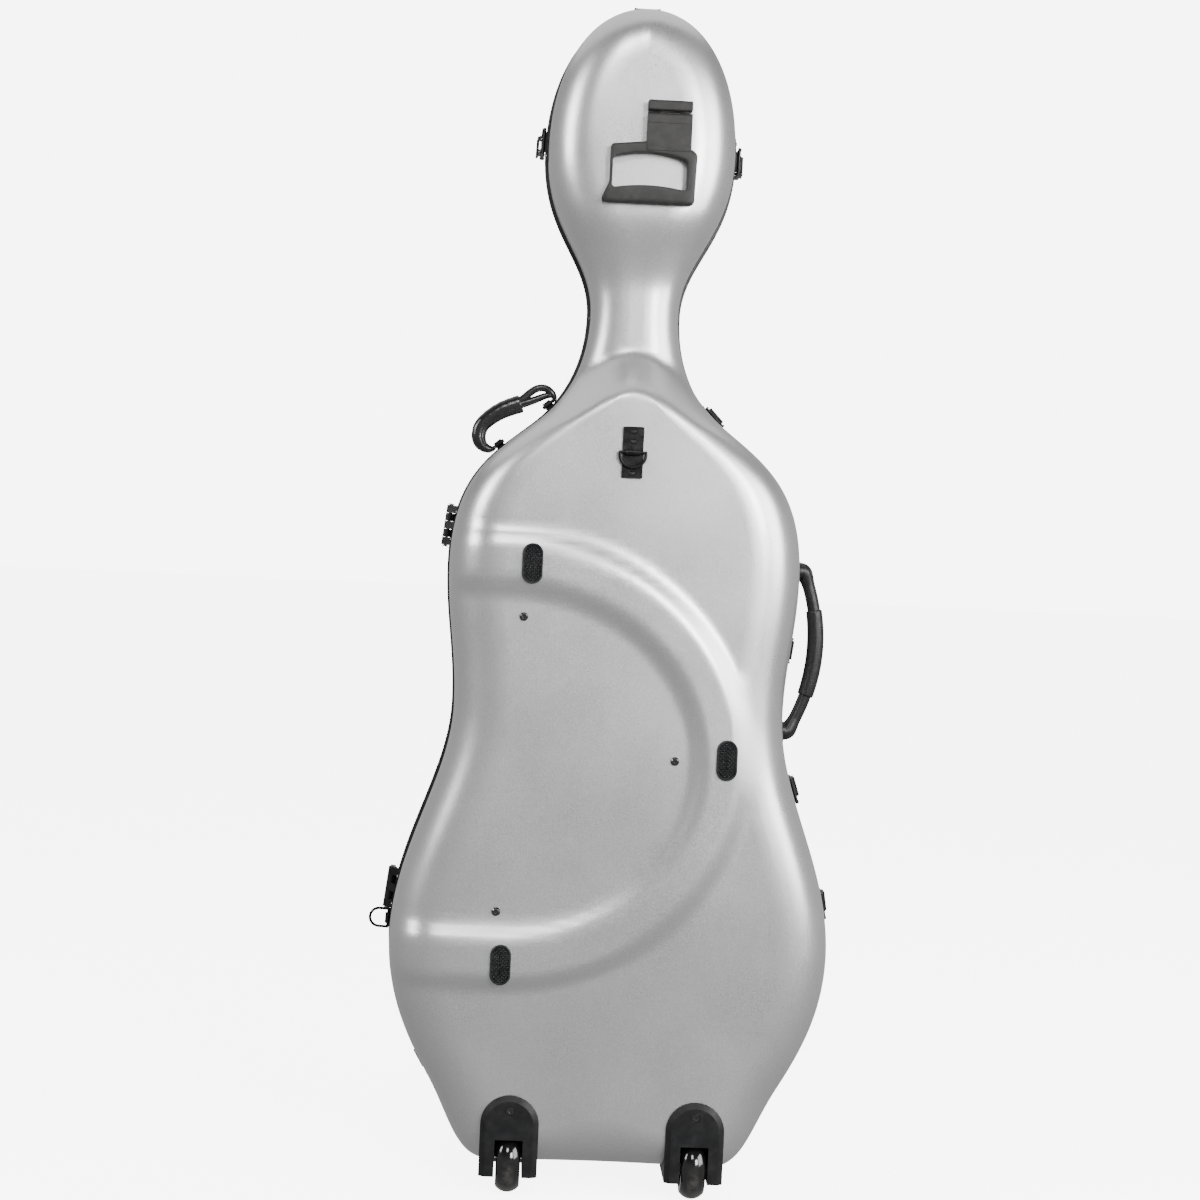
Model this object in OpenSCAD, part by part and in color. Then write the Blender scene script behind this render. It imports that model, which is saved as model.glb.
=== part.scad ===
// Cello hard case: a moulded back shell and a hinged lid, closed by draw latches,
// with two wheels, three handles, strap rings and a padded interior.
// The case stands upright on its wheels and front feet, with its back toward -Y.

/* [Outline] */
// Height of the shells, from the flat bottom edge to the top of the head
shell_h = 1312; // [1300:1:1325]
// Half width of the flat bottom edge
bottom_half_w = 128; // [120:1:136]
// Half width at the lower bout
lower_half_w = 249; // [240:1:258]
// Height of the widest line of the lower bout
lower_z = 245; // [235:1:255]
// Half width at the waist
waist_half_w = 187; // [180:1:192]
// Height of the waist
waist_z = 512; // [500:1:525]
// Half width at the upper bout
upper_half_w = 199; // [195:1:206]
// Height of the widest line of the upper bout
upper_z = 670; // [660:1:680]
// Half width of the neck
neck_half_w = 50; // [46:1:56]
// Height of the narrowest line of the neck
neck_z = 965; // [955:1:975]
// Half width of the head
head_half_w = 107; // [102:1:112]
// Height of the widest line of the head
head_z = 1150; // [1140:1:1160]

/* [Depths] */
// Depth of the back shell over the body
back_body_d = 140; // [134:1:146]
// Depth of the back shell at the neck
back_neck_d = 80; // [74:1:84]
// Depth of the back shell at the head
back_head_d = 104; // [98:1:108]
// Depth of the lid over the body
lid_body_d = 118; // [112:1:124]
// Extra depth of the lid above the bridge
lid_bridge_d = 26; // [18:1:32]
// Depth of the lid at the neck
lid_neck_d = 68; // [64:1:74]
// Depth of the lid at the head
lid_head_d = 88; // [84:1:96]
// Straight side wall next to the parting line, on the body
body_band = 60; // [56:1:66]
// Straight side wall next to the parting line, on the neck and head
neck_band = 30; // [28:1:34]
// Width over which the side walls round into the face
edge_round = 62; // [56:1:68]
// Thickness of the shell walls
shell_t = 3; // [2.5:0.5:4]

/* [Moulded crescent] */
// Height of the raised crescent band
relief_h = 9; // [6:0.5:12]
// Centre of the crescent, to the left of the middle
relief_x = -124; // [-130:1:-120]
// Centre of the crescent, above the bottom edge
relief_z = 457; // [452:1:462]
// Outer half width of the crescent
relief_outer_a = 277; // [272:1:282]
// Outer half height of the crescent
relief_outer_b = 260; // [255:1:265]
// Inner half width of the crescent
relief_inner_a = 201; // [196:1:206]
// Inner half height of the crescent
relief_inner_b = 180; // [175:1:185]
// Width of the slopes at both edges of the band
relief_slope = 24; // [20:1:28]

/* [Rim and lining] */
// How far the black rim trims stand out from the shells
trim_out = 3; // [2:0.5:4]
// How far the rim trims reach inward over the rims
trim_in = 8; // [7:0.5:10]
// Thickness of each rim trim
trim_h = 3; // [2:0.5:4]
// Gap between the two closed rim trims
rim_gap = 0.3; // [0.2:0.1:0.6]
// Thickness of the foam lining
liner_t = 10; // [8:1:12]

/* [Latches] */
// Width of the latch plates along the rim
latch_w = 46; // [44:1:50]
// Width of the latch levers
lever_w = 22; // [20:1:24]
// Length of the latch levers from their pin
lever_l = 25; // [22:1:27]
// Height of the lever pin above the shell
latch_pin_n = 9; // [9:0.5:10]
// Distance of the lever pin from the parting line
latch_pin_y = 15; // [15:0.5:17]
// Radius of the lever pin
latch_pin_r = 1.6; // [1.4:0.1:1.8]
// Distance from the lever pin to the hook pivot
latch_throw = 8; // [7.5:0.5:8.5]
// Thickness of the latch plates
latch_plate_t = 2.2; // [2:0.1:2.6]
// Width of the draw hooks
hook_w = 30; // [30:1:32]

/* [Hinges] */
// Distance from the side wall to the hinge axis at the upper hinge
hinge_off = 9; // [8.5:0.5:10]
// Height of the upper hinge
hinge_top_z = 713; // [700:1:720]
// Height of the lower hinge
hinge_low_z = 289; // [280:1:300]
// Length of each hinge barrel
hinge_l = 47; // [44:1:50]
// Radius of the hinge barrels
hinge_r = 5; // [4.5:0.25:5.5]
// Radius of the hinge pins
hinge_pin_r = 2; // [1.8:0.1:2.4]

/* [Wheels] */
// Distance of each wheel from the middle
wheel_x = 103; // [100:1:106]
// Radius of the wheels
wheel_r = 36; // [34:1:36]
// Width of the wheels
wheel_w = 27; // [25:1:28]
// How far the wheels reach below the bottom edge
wheel_drop = 28; // [26:1:30]
// Depth of the wheel axles behind the parting line
axle_y = 116; // [114:1:118]
// Radius of the wheel axles
axle_r = 4; // [3.5:0.5:4.5]
// Width of the wheel housings
housing_w = 65; // [64:1:68]
// Height of the wheel housings
housing_h = 90; // [88:1:92]
// How far the wheel housings stand proud of the back
housing_proud = 6; // [5:0.5:7]

/* [Handles and rings] */
// Upper end of the side handle
side_grip_top_z = 679; // [675:1:683]
// Lower end of the side handle
side_grip_low_z = 495; // [491:1:499]
// How far the middle of the side handle stands off
side_grip_off = 31; // [28:1:34]
// Radius of the side handle grip
side_grip_r = 9.5; // [8.5:0.5:10]
// Radius of the wire of the strap rings
ring_wire_r = 1.6; // [1.4:0.1:1.8]
// Width of the strap ring on the back
back_ring_w = 32; // [30:1:34]
// Height of the strap ring on the back
back_ring_h = 20; // [19:1:22]
// Height of the strap plate above the bottom edge
strap_z = 802; // [795:1:808]

/* [Hidden] */
$fn = 48;

eps = 0.05;                 // seat gap that keeps touching faces apart
round_power = 2.5;          // squareness of the rounded edges
spine_low = 112;            // lowest point of the line that the faces close on
spine_high = 82;            // how far that line ends below the top
bottom_blend = 260;         // height below which the spine is drawn upward
bridge_z = 430;             // height of the lid's bulge over the bridge
step_lead = 20;             // how far the inner faces step down before the outer ones
liner_gap = 0.3;            // gap between a shell and its lining
lift = wheel_drop;          // the bottom edge above the floor
rivet_r = 2.6;
rivet_h = 1.2;
rivet_seat = 0.3;            // gap under the rivets where the plates are bent

// Outline of the right half: curves of four control points each, from the middle of
// the bottom edge to the top of the head, with the number of steps on each.
curves = [
  [[[0, 0], [bottom_half_w / 3, 0], [bottom_half_w * 2 / 3, 0], [bottom_half_w, 0]], 2],
  [[[bottom_half_w, 0], [bottom_half_w + 37, 0], [lower_half_w - 77, lower_z - 200],
    [lower_half_w - 49, lower_z - 153]], 6],
  [[[lower_half_w - 49, lower_z - 153], [lower_half_w - 20.4, lower_z - 105],
    [lower_half_w, lower_z - 60], [lower_half_w, lower_z]], 4],
  [[[lower_half_w, lower_z], [lower_half_w, lower_z + 100], [waist_half_w, waist_z - 87],
    [waist_half_w, waist_z]], 8],
  [[[waist_half_w, waist_z], [waist_half_w, waist_z + 63], [upper_half_w, upper_z - 60],
    [upper_half_w, upper_z]], 6],
  [[[upper_half_w, upper_z], [upper_half_w, upper_z + 105], [neck_half_w + 100, neck_z - 165],
    [neck_half_w + 57, neck_z - 129]], 8],
  [[[neck_half_w + 57, neck_z - 129], [neck_half_w + 25, neck_z - 102], [neck_half_w, neck_z - 60],
    [neck_half_w, neck_z]], 8],
  [[[neck_half_w, neck_z], [neck_half_w, neck_z + 67], [head_half_w, head_z - 94],
    [head_half_w, head_z]], 8],
  [[[head_half_w, head_z], [head_half_w, head_z + 91], [head_half_w - 40, shell_h], [0, shell_h]], 8],
];

function bez(c, t) = let (u = 1 - t)
  u * u * u * c[0] + 3 * u * u * t * c[1] + 3 * u * t * t * c[2] + t * t * t * c[3];
function bez_dir(c, t) = let (u = 1 - t)
  3 * u * u * (c[1] - c[0]) + 6 * u * t * (c[2] - c[1]) + 3 * t * t * (c[3] - c[2]);
function unit(v) = v / norm(v);
function outward(v) = unit([v[1], -v[0]]);
function smooth(a, b, v) = let (k = min(1, max(0, (v - a) / (b - a)))) k * k * (3 - 2 * k);
function mix(a, b, k) = a + (b - a) * k;

// Samples of the right half: [point, outward normal]
samples = concat(
  [for (c = curves) for (i = [0:c[1] - 1]) [bez(c[0], i / c[1]), outward(bez_dir(c[0], i / c[1]))]],
  [[[0, shell_h], [0, 1]]]);
coarse = [for (i = [0:2:len(samples) - 1]) samples[i]];

// Closed outline, moved outward by d
function outline(d, list = samples) = let (n = len(list) - 1) concat(
  [for (i = [0:n]) list[i][0] + list[i][1] * d],
  [for (i = [n - 1:-1:1]) let (p = list[i][0] + list[i][1] * d) [-p[0], p[1]]]);

// Straight depth of the side wall at a height
function band(z) = mix(body_band, neck_band, smooth(neck_z - 145, neck_z - 60, z));

// Point on the spine that an outline point is drawn to
function spine(p) =
  p[1] < bottom_blend
  ? let (k = p[1] / bottom_blend)
    [0, spine_low + 0.15 * abs(p[0]) * (1 - k) + (bottom_blend - spine_low) * k]
  : p[1] > head_z
  ? let (k = (p[1] - head_z) / (shell_h - head_z))
    [0, head_z + (shell_h - spine_high - head_z) * k + 0.15 * (head_half_w - abs(p[0])) * k]
  : [0, p[1]];

// Height of the crescent band over the face of the back
function relief(x, z) = let (
    dx = max(0, x - relief_x),
    dz = z - relief_z,
    outer = norm([dx / relief_outer_a, dz / relief_outer_b]),
    inner = norm([dx / relief_inner_a, dz / relief_inner_b]))
  relief_h * (1 - smooth(1 - relief_slope / relief_outer_a, 1, outer))
           * smooth(1, 1 + relief_slope / relief_inner_a, inner);

// The step from the body down to the neck is an arc, lower at its sides
function neck_arc(x) = 0.012 * pow(min(50, abs(x)), 2);

// Depth of the back shell and of the lid at a place. Inner faces are plain behind the
// crescent, and step down a little before the neck and the head.
function back_depth(x, z, inside) = let (
    lead = inside ? step_lead : 0,
    body = back_body_d + (inside ? 0 : relief(x, z)),
    neck = smooth(neck_z - 80 - lead, neck_z - 20 - lead, z + neck_arc(x)))
  mix(mix(body, back_neck_d, neck), back_head_d, smooth(neck_z + 20 + lead, neck_z + 115 + lead, z));
function lid_depth(x, z, inside) = let (
    lead = inside ? step_lead : 0,
    bridge = lid_bridge_d * smooth(0, 1, 1.15 - norm([x / 190, (z - bridge_z) / 330])),
    neck = smooth(neck_z - 95 - lead, neck_z - 20 - lead, z + neck_arc(x)))
  mix(mix(lid_body_d + bridge, lid_neck_d, neck), lid_head_d, smooth(neck_z + 20 + lead, neck_z + 115 + lead, z));
function depth(is_lid, p, inside) =
  is_lid ? lid_depth(p[0], p[1], inside) : back_depth(p[0], p[1], inside);

// Rings from the rim to the spine: [0, 0] is the rim, [1, 0] the end of the straight
// band, [2, angle] lies on the rounding and [3, share] on the face.
function rings(n_round, n_face) = concat([[0, 0], [1, 0]],
  [for (i = [1:n_round]) [2, 90 * i / n_round]],
  [for (i = [1:n_face - 1]) [3, i / n_face]]);

// One point of a shell surface, for a sample, an inset from the outer face and a ring
function shell_point(is_lid, s, inset, ring, rim_y) = let (
    p = s[0] - s[1] * inset,
    c = spine(s[0]),
    l = norm(c - p),
    w = min(edge_round - inset, 0.85 * l),
    a = ring[1],
    e = ring[0] < 2 ? 0
      : ring[0] == 2 ? w * (1 - pow(abs(cos(a)), 2 / round_power))
      : w + (l - w) * a,
    q = p + (c - p) / l * e,
    b = band(s[0][1]),
    d = depth(is_lid, q, inset > 0) - inset,
    y = ring[0] == 0 ? rim_y
      : ring[0] == 1 ? b
      : ring[0] == 2 ? b + (d - b) * pow(sin(a), 2 / round_power)
      : d)
  [q[0], -y, q[1]];
function spine_point(is_lid, s, inset) = let (c = spine(s[0]))
  [0, inset - depth(is_lid, c, inset > 0), c[1]];

// Samples of the whole outline: right half up, then left half down
function around(list) = let (n = len(list) - 1) concat(
  list, [for (i = [n - 1:-1:1]) let (s = list[i]) [[-s[0][0], s[0][1]], [-s[1][0], s[1][1]]]]);

// All points of one closed surface: ring after ring, then the spine between its ends
function sheet(is_lid, list, inset, ring_list, rim_y) = let (n = len(list) - 1, loop = around(list)) concat(
  [for (r = ring_list) for (s = loop) shell_point(is_lid, s, inset, r, rim_y)],
  [for (i = [1:n - 1]) spine_point(is_lid, list[i], inset)]);

// Triangles of a sheet with n steps a half and m rings, starting at a point number;
// flip turns them over for the inner side
function sheet_faces(n, m, start, flip) = let (
    w = 2 * n,
    turn = function (f) flip ? [f[0], f[2], f[1]] : f,
    at_spine = function (j) start + m * w + min(n - 2, max(0, (j <= n ? j : w - j) - 1)))
  concat(
    [for (k = [0:m - 2]) for (j = [0:w - 1]) let (
        j2 = (j + 1) % w, a = start + k * w, b = a + w)
      each [turn([a + j, b + j, a + j2]), turn([a + j2, b + j, b + j2])]],
    [for (j = [0:w - 1]) let (
        j2 = (j + 1) % w, a = start + (m - 1) * w, s1 = at_spine(j), s2 = at_spine(j2))
      each concat([turn([a + j, s1, a + j2])], s1 == s2 ? [] : [turn([a + j2, s1, s2])])]);

// A hollow shell between two insets; the outer sheet may have twice the inner steps
module shell_solid(is_lid, outer_list, inner_list, inset0, inset1, outer_rings, inner_rings, rim_y) {
  no = len(outer_list) - 1;
  ni = len(inner_list) - 1;
  step = no / ni;
  outer_pts = sheet(is_lid, outer_list, inset0, outer_rings, rim_y);
  inner_pts = sheet(is_lid, inner_list, inset1, inner_rings, rim_y);
  base = len(outer_pts);
  rim = step == 2
    ? [for (q = [0:2 * ni - 1]) let (q2 = (q + 1) % (2 * ni), o = 2 * q, o1 = o + 1, o2 = (o + 2) % (2 * no))
        each [[o, o1, base + q], [o1, base + q2, base + q], [o1, o2, base + q2]]]
    : [for (q = [0:2 * ni - 1]) let (q2 = (q + 1) % (2 * ni))
        each [[q, q2, base + q], [q2, base + q2, base + q]]];
  polyhedron(
    points = concat(outer_pts, inner_pts),
    faces = concat(sheet_faces(no, len(outer_rings), 0, false),
                   sheet_faces(ni, len(inner_rings), base, true), rim),
    convexity = 6);
}

// Point and outward normal on the side wall at a height, on the right or left
function wall_at(z, side) = let (
    i = max([for (k = [3:len(samples) - 2]) if (samples[k][0][1] <= z) k]),
    a = samples[i], b = samples[i + 1],
    k = (z - a[0][1]) / (b[0][1] - a[0][1]),
    p = mix(a[0], b[0], k), n = unit(mix(a[1], b[1], k)))
  [[side * p[0], p[1]], [side * n[0], n[1]]];
function reach(s, n) = s[0] + s[1] * n;
// The place on the side wall at a distance along the rim from another place
function wall_near(s, x) = let (
    loop = around(samples),
    rim = [s[1][1], -s[1][0]])
  [for (i = [0:len(loop) - 1]) let (
      a = loop[i], b = loop[(i + 1) % len(loop)],
      ua = (a[0] - s[0]) * rim - x, ub = (b[0] - s[0]) * rim - x)
    if (ua * ub <= 0 && abs((a[0] - s[0]) * s[1]) < 30)
      let (k = ua == ub ? 0 : ua / (ua - ub)) [mix(a[0], b[0], k), unit(mix(a[1], b[1], k))]][0];

// Moves children to a place on the side wall: X along the rim, Y across the parting
// line, Z outward
module on_wall(s) {
  translate([s[0][0], 0, s[0][1]]) rotate([0, atan2(s[1][0], s[1][1]), 0]) children();
}
// Extrudes a profile drawn in Y and Z along X
module along_x(x0, x1) {
  translate([x0, 0, 0]) rotate([90, 0, 90]) linear_extrude(x1 - x0) children();
}
// Extrudes a profile drawn in X and Z from y0 to y1
module along_y(y0, y1) {
  translate([0, y1, 0]) rotate([90, 0, 0]) linear_extrude(y1 - y0) children();
}
// A plate between two offsets of the outline that follows the side wall at a place
module wall_plate(s, w, y0, y1, d0, d1, list = samples) {
  along_y(y0, y1) intersection() {
    difference() {
      polygon(outline(d1, list));
      polygon(outline(d0, list));
    }
    translate(s[0]) rotate(-atan2(s[1][0], s[1][1])) square([w, 100], center = true);
  }
}
module rivet_head(r) cylinder(h = rivet_h, r1 = r, r2 = 0.7 * r, $fn = 24);

// Places of the draw latches
latch_sites = [
  [[0, shell_h], [0, 1]],
  wall_at(head_z + 12, -1),
  wall_at(head_z, 1),
  wall_at(neck_z - 117, 1),
  wall_at(waist_z + 75, 1),
  wall_at(waist_z - 91, 1),
  wall_at(lower_z + 44, 1),
  wall_at(lower_z - 152, -1),
];
latch_lid_y = rim_gap + trim_h + 1;
hook_pivot = [latch_pin_y + latch_throw, latch_pin_n - 1.5];
hook_bar = [-16.2, 6.5];
keeper_y = [-30, -10];

// Hinge axis through both hinges, on the left
hinge_top = reach(wall_at(hinge_top_z, -1), hinge_off);
hinge_low = reach(wall_at(hinge_low_z, -1), hinge_off);
hinge_lean = atan2(hinge_top[0] - hinge_low[0], hinge_top[1] - hinge_low[1]);

module latch_ears() {
  for (x = [-7, 5]) along_x(x, x + 2) difference() {
    union() {
      translate([latch_pin_y - 3.5, latch_plate_t - 1]) square([7, latch_pin_n - latch_plate_t + 1]);
      translate([latch_pin_y, latch_pin_n]) circle(3.5);
    }
    translate([latch_pin_y, latch_pin_n]) circle(latch_pin_r + 0.02);
  }
}
module latch_bases() {
  color([0.1, 0.1, 0.1]) translate([0, 0, lift]) for (s = latch_sites) {
    wall_plate(s, latch_w, latch_lid_y, latch_lid_y + 26, eps, latch_plate_t);
    on_wall(s) latch_ears();
  }
}
module latch_pins() {
  color([0.5, 0.5, 0.52]) translate([0, 0, lift]) for (s = latch_sites) on_wall(s)
    translate([-lever_w / 2, latch_pin_y, latch_pin_n]) rotate([0, 90, 0])
      cylinder(h = lever_w, r = latch_pin_r, $fn = 32);
}
module latch_keepers() {
  color([0.1, 0.1, 0.1]) translate([0, 0, lift]) for (s = latch_sites) {
    wall_plate(s, latch_w, keeper_y[0], keeper_y[1], eps, latch_plate_t);
    on_wall(s) along_x(-11, 11)
      polygon([[-14.3, 1], [-14.3, 8.6], [-13, 8.6], [-11.6, 1]]);
  }
}
module latch_lever(s) {
  cheek = 3;
  color([0.12, 0.12, 0.12]) translate([0, 0, lift]) on_wall(s) {
    for (x = [-lever_w / 2, lever_w / 2 - cheek]) along_x(x, x + cheek) difference() {
      union() {
        translate([latch_pin_y, latch_pin_n]) circle(3.4);
        translate(hook_pivot) circle(2.9);
        polygon([[latch_pin_y - 1.5, latch_pin_n + 3], [latch_pin_y - 1, latch_pin_n - 3],
                 [hook_pivot[0], hook_pivot[1] - 2.9], [hook_pivot[0] + 2.9, hook_pivot[1]],
                 [hook_pivot[0] + 4, latch_pin_n + 4], [latch_pin_y + 4, latch_pin_n + 4]]);
      }
      translate([latch_pin_y, latch_pin_n]) circle(latch_pin_r + 0.08);
    }
    along_x(-lever_w / 2, lever_w / 2) translate([latch_pin_y, latch_pin_n])
      polygon([[4, 3], [lever_l - 4, 3], [lever_l, 4.6], [lever_l, 6.4], [lever_l - 5, 5.4], [4, 5.6]]);
    for (x = [-hook_w / 2 - 0.4, lever_w / 2 - 0.1])
      translate([x, hook_pivot[0], hook_pivot[1]]) rotate([0, 90, 0])
        cylinder(h = hook_w / 2 + 0.5 - lever_w / 2, r = 1.5, $fn = 32);
  }
}
module latch_hook(s) {
  arm = 2.2;
  color([0.55, 0.56, 0.58]) translate([0, 0, lift]) on_wall(s) {
    for (x = [-hook_w / 2, hook_w / 2 - arm]) along_x(x, x + arm) difference() {
      union() {
        translate(hook_pivot) circle(2.8);
        translate(hook_bar) circle(1.6);
        polygon([hook_pivot + [0, 2.8], hook_pivot - [0, 2.8], [8, 5.6], [-12.8, 6.1], hook_bar - [-0.6, 1.4],
                 hook_bar + [-1.5, 0.6], [-13, 9.4], [6, 10]]);
      }
      translate(hook_pivot) circle(1.58);
    }
    translate([-hook_w / 2, hook_bar[0], hook_bar[1]]) rotate([0, 90, 0])
      cylinder(h = hook_w, r = 1.6, $fn = 32);
  }
}

// Rivets of the latch and hinge plates
module plate_rivets(s, offsets, y) {
  for (x = offsets) on_wall(wall_near(s, x)) translate([0, y, latch_plate_t + rivet_seat]) rivet_head(rivet_r);
}
module rim_rivets(y) {
  color([0.5, 0.5, 0.52]) translate([0, 0, lift]) {
    for (s = latch_sites) plate_rivets(s, [-18, 18], y);
    for (z = [hinge_top_z, hinge_low_z]) plate_rivets(wall_at(z, -1), [-16, 16], y);
  }
}
module back_rivets() rim_rivets(-22);
module lid_rivets() rim_rivets(24);

// Hinges: five knuckles on one leaning axis; the back carries the first, third and fifth
module on_hinge(p) {
  translate([p[0], rim_gap / 2, p[1]]) rotate([0, hinge_lean, 0]) translate([0, 0, -hinge_l / 2]) children();
}
module knuckles(which, y_side, bore) {
  pitch = hinge_l / 5;
  for (i = which) translate([0, 0, i * pitch + 0.2]) difference() {
    union() {
      cylinder(h = pitch - 0.4, r = hinge_r);
      linear_extrude(pitch - 0.4) polygon([
        [-2, y_side * (hinge_r - 0.4)], [hinge_off - 0.8, y_side * 12], [hinge_off - 0.8, y_side * 4.4],
        [4, y_side * 3.6], [2, 0]]);
    }
    translate([0, 0, -1]) cylinder(h = pitch + 2, r = bore);
  }
}
module hinge_leaf(y_side, which, bore) {
  for (z = [hinge_top_z, hinge_low_z]) {
    y0 = y_side < 0 ? -30 : 4.5;
    wall_plate(wall_at(z, -1), hinge_l, y0, y0 + 25.5, eps, latch_plate_t);
  }
  for (p = [hinge_top, hinge_low]) on_hinge(p) knuckles(which, y_side, bore);
}
module hinge_back_leaves() {
  color([0.1, 0.1, 0.1]) translate([0, 0, lift]) hinge_leaf(-1, [0, 2, 4], hinge_pin_r + 0.02);
}
module hinge_lid_leaves() {
  color([0.45, 0.45, 0.46]) translate([0, 0, lift]) hinge_leaf(1, [1, 3], hinge_pin_r + 0.06);
}
module hinge_pins() {
  color([0.5, 0.5, 0.52]) translate([0, 0, lift]) for (p = [hinge_top, hinge_low]) on_hinge(p) {
    translate([0, 0, -0.5]) cylinder(h = hinge_l + 1, r = hinge_pin_r);
    for (z = [-1.7, hinge_l + 0.2]) translate([0, 0, z]) cylinder(h = 1.5, r = hinge_pin_r + 1.2);
  }
}

// Wheels, in housings let into the lower corners of the back
axle_z = wheel_r - wheel_drop;
well_y = axle_y - wheel_r - 6;        // inner wall of the housings
housing_top = housing_h - 5 - housing_w / 2;
housing_slope = 6;                    // width of the sloped edge round the face
module housing_outline(gap) {
  translate([0, housing_top]) circle(housing_w / 2 + gap);
  translate([-housing_w / 2 - gap, -5 - gap]) square([housing_w + 2 * gap, housing_top + 5 + gap]);
}
module wheel_wells() {
  for (x = [-wheel_x, wheel_x]) translate([x, 0, 0]) along_y(-back_body_d - 40, -well_y + 0.3)
    translate([0, -20]) {
      translate([0, 20]) housing_outline(0.3);
      translate([-housing_w / 2 - 0.3, -20]) square([housing_w + 0.6, 60]);
    }
}
module back_shell() {
  color("silver") translate([0, 0, lift]) difference() {
    shell_solid(false, samples, coarse, 0, shell_t, rings(5, 13), rings(4, 4), trim_h);
    wheel_wells();
  }
}
module wheel_housings() {
  face = back_body_d + housing_proud;
  color([0.13, 0.13, 0.13]) translate([0, 0, lift]) for (x = [-wheel_x, wheel_x]) translate([x, 0, 0])
    difference() {
      union() {
        along_y(-face + 4, -well_y) housing_outline(0);
        translate([0, -face + 4, housing_top]) rotate([90, 0, 0])
          cylinder(h = 4, r1 = housing_w / 2, r2 = housing_w / 2 - housing_slope);
        translate([0, 0, -5]) linear_extrude(housing_top + 5) polygon([
          [-housing_w / 2, -face + 4], [housing_w / 2, -face + 4],
          [housing_w / 2 - housing_slope, -face], [housing_slope - housing_w / 2, -face]]);
      }
      translate([-wheel_gap_w / 2, -axle_y, axle_z]) rotate([0, 90, 0])
        cylinder(h = wheel_gap_w, r = wheel_r + 3.5, $fn = 64);
      translate([-wheel_gap_w / 2, -face - 1, -40]) cube([wheel_gap_w, face + 1 - axle_y, 76]);
      translate([-wheel_gap_w / 2, -axle_y - wheel_r - 3.5, -40]) cube([wheel_gap_w, 2 * wheel_r + 7, 40 + axle_z]);
      translate([-axle_l / 2, -axle_y, axle_z]) rotate([0, 90, 0]) cylinder(h = axle_l, r = axle_r + 0.02);
      translate([0, -face + 6, housing_top + 16]) rotate([90, 0, 0]) cylinder(h = 10, r = 2.55);
      translate([0, -face + 2.6, housing_top + 16]) rotate([90, 0, 0]) cylinder(h = 10, r = 5);
    }
}
wheel_gap_w = wheel_w + 4;
axle_l = housing_w - 6;
module housing_screws() {
  face = back_body_d + housing_proud;
  color([0.3, 0.3, 0.32]) translate([0, 0, lift]) for (x = [-wheel_x, wheel_x])
    translate([x, -face + 5.9, housing_top + 16]) rotate([90, 0, 0]) {
      cylinder(h = 3.3, r = 2.5);
      translate([0, 0, 3.3]) difference() {
        cylinder(h = 1.8, r = 4.6);
        translate([0, 0, 0.8]) cylinder(h = 2, r = 2.2, $fn = 6);
      }
    }
}
module wheel_axles() {
  color([0.6, 0.6, 0.62]) translate([0, 0, lift]) for (x = [-wheel_x, wheel_x])
    translate([x - axle_l / 2, -axle_y, axle_z]) rotate([0, 90, 0]) cylinder(h = axle_l, r = axle_r);
}
module on_wheel(side) {
  translate([side * wheel_x, -axle_y, lift + axle_z]) rotate([0, 90, 0]) children();
}
module tyre(side) {
  color([0.05, 0.05, 0.05]) on_wheel(side) rotate_extrude($fn = 72) {
    translate([wheel_r - 13, -wheel_w / 2 + 3]) square([6, wheel_w - 6]);
    intersection() {
      translate([wheel_r - 17, 0]) circle(17);
      translate([wheel_r - 13, -wheel_w / 2]) square([20, wheel_w]);
    }
  }
}
module hub(side) {
  color([0.3, 0.3, 0.32]) on_wheel(side) rotate_extrude($fn = 72) {
    translate([axle_r + 0.08, -wheel_w / 2]) square([7, wheel_w]);
    translate([axle_r + 4, -3]) square([wheel_r - 13 - axle_r - 4, 6]);
    translate([wheel_r - 15.5, -wheel_w / 2 + 4]) square([2.5, wheel_w - 8]);
  }
}

// Rubber feet under the lid, as tall as the wheels stand off
module stand_feet() {
  color([0.08, 0.08, 0.08]) for (x = [-foot_x, foot_x]) translate([x, foot_y, 0]) difference() {
    cylinder(h = lift - eps, r1 = 16, r2 = 20);
    translate([0, 0, -1]) cylinder(h = 9, r = 5);
  }
}
foot_x = 95;
foot_y = 50;

// Crescent pads and screws on the back
pad_sites = [[-105, 675], [119, 467], [-121, 231]];
module back_pads() {
  color([0.12, 0.12, 0.12]) translate([0, 0, lift]) for (p = pad_sites) translate([p[0], 0, p[1]])
    along_y(-pad_face, -back_body_d - relief_h - eps) {
      translate([0, -pad_h / 2 + pad_w / 2]) circle(pad_w / 2);
      translate([0, pad_h / 2 - pad_w / 2]) circle(pad_w / 2);
      translate([-pad_w / 2, -pad_h / 2 + pad_w / 2]) square([pad_w, pad_h - pad_w]);
    }
}
pad_w = 23;
pad_h = 45;
pad_face = back_body_d + relief_h + 3;
band_screw_sites = [[-112, 616], [62, 463], [-128.5, 288.5]];
band_screw_seat = 0.3;
module round_screw(r, h) {
  cylinder(h = h * 0.4, r = r);
  translate([0, 0, h * 0.4]) difference() {
    cylinder(h = h * 0.6, r1 = r, r2 = r * 0.62);
    translate([0, 0, h * 0.15]) cylinder(h = h, r = r * 0.4, $fn = 6);
  }
}
module band_screws() {
  color([0.08, 0.08, 0.08]) translate([0, 0, lift]) for (p = band_screw_sites)
    translate([p[0], -back_body_d - band_screw_seat, p[1]]) rotate([90, 0, 0]) round_screw(4.8, 3);
}
module neck_screws() {
  color([0.08, 0.08, 0.08]) translate([0, 0, lift]) for (side = [-1, 1]) on_wall(wall_at(neck_z - 6, side))
    translate([0, -18, 3 * eps]) round_screw(3, 2);
}

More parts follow.
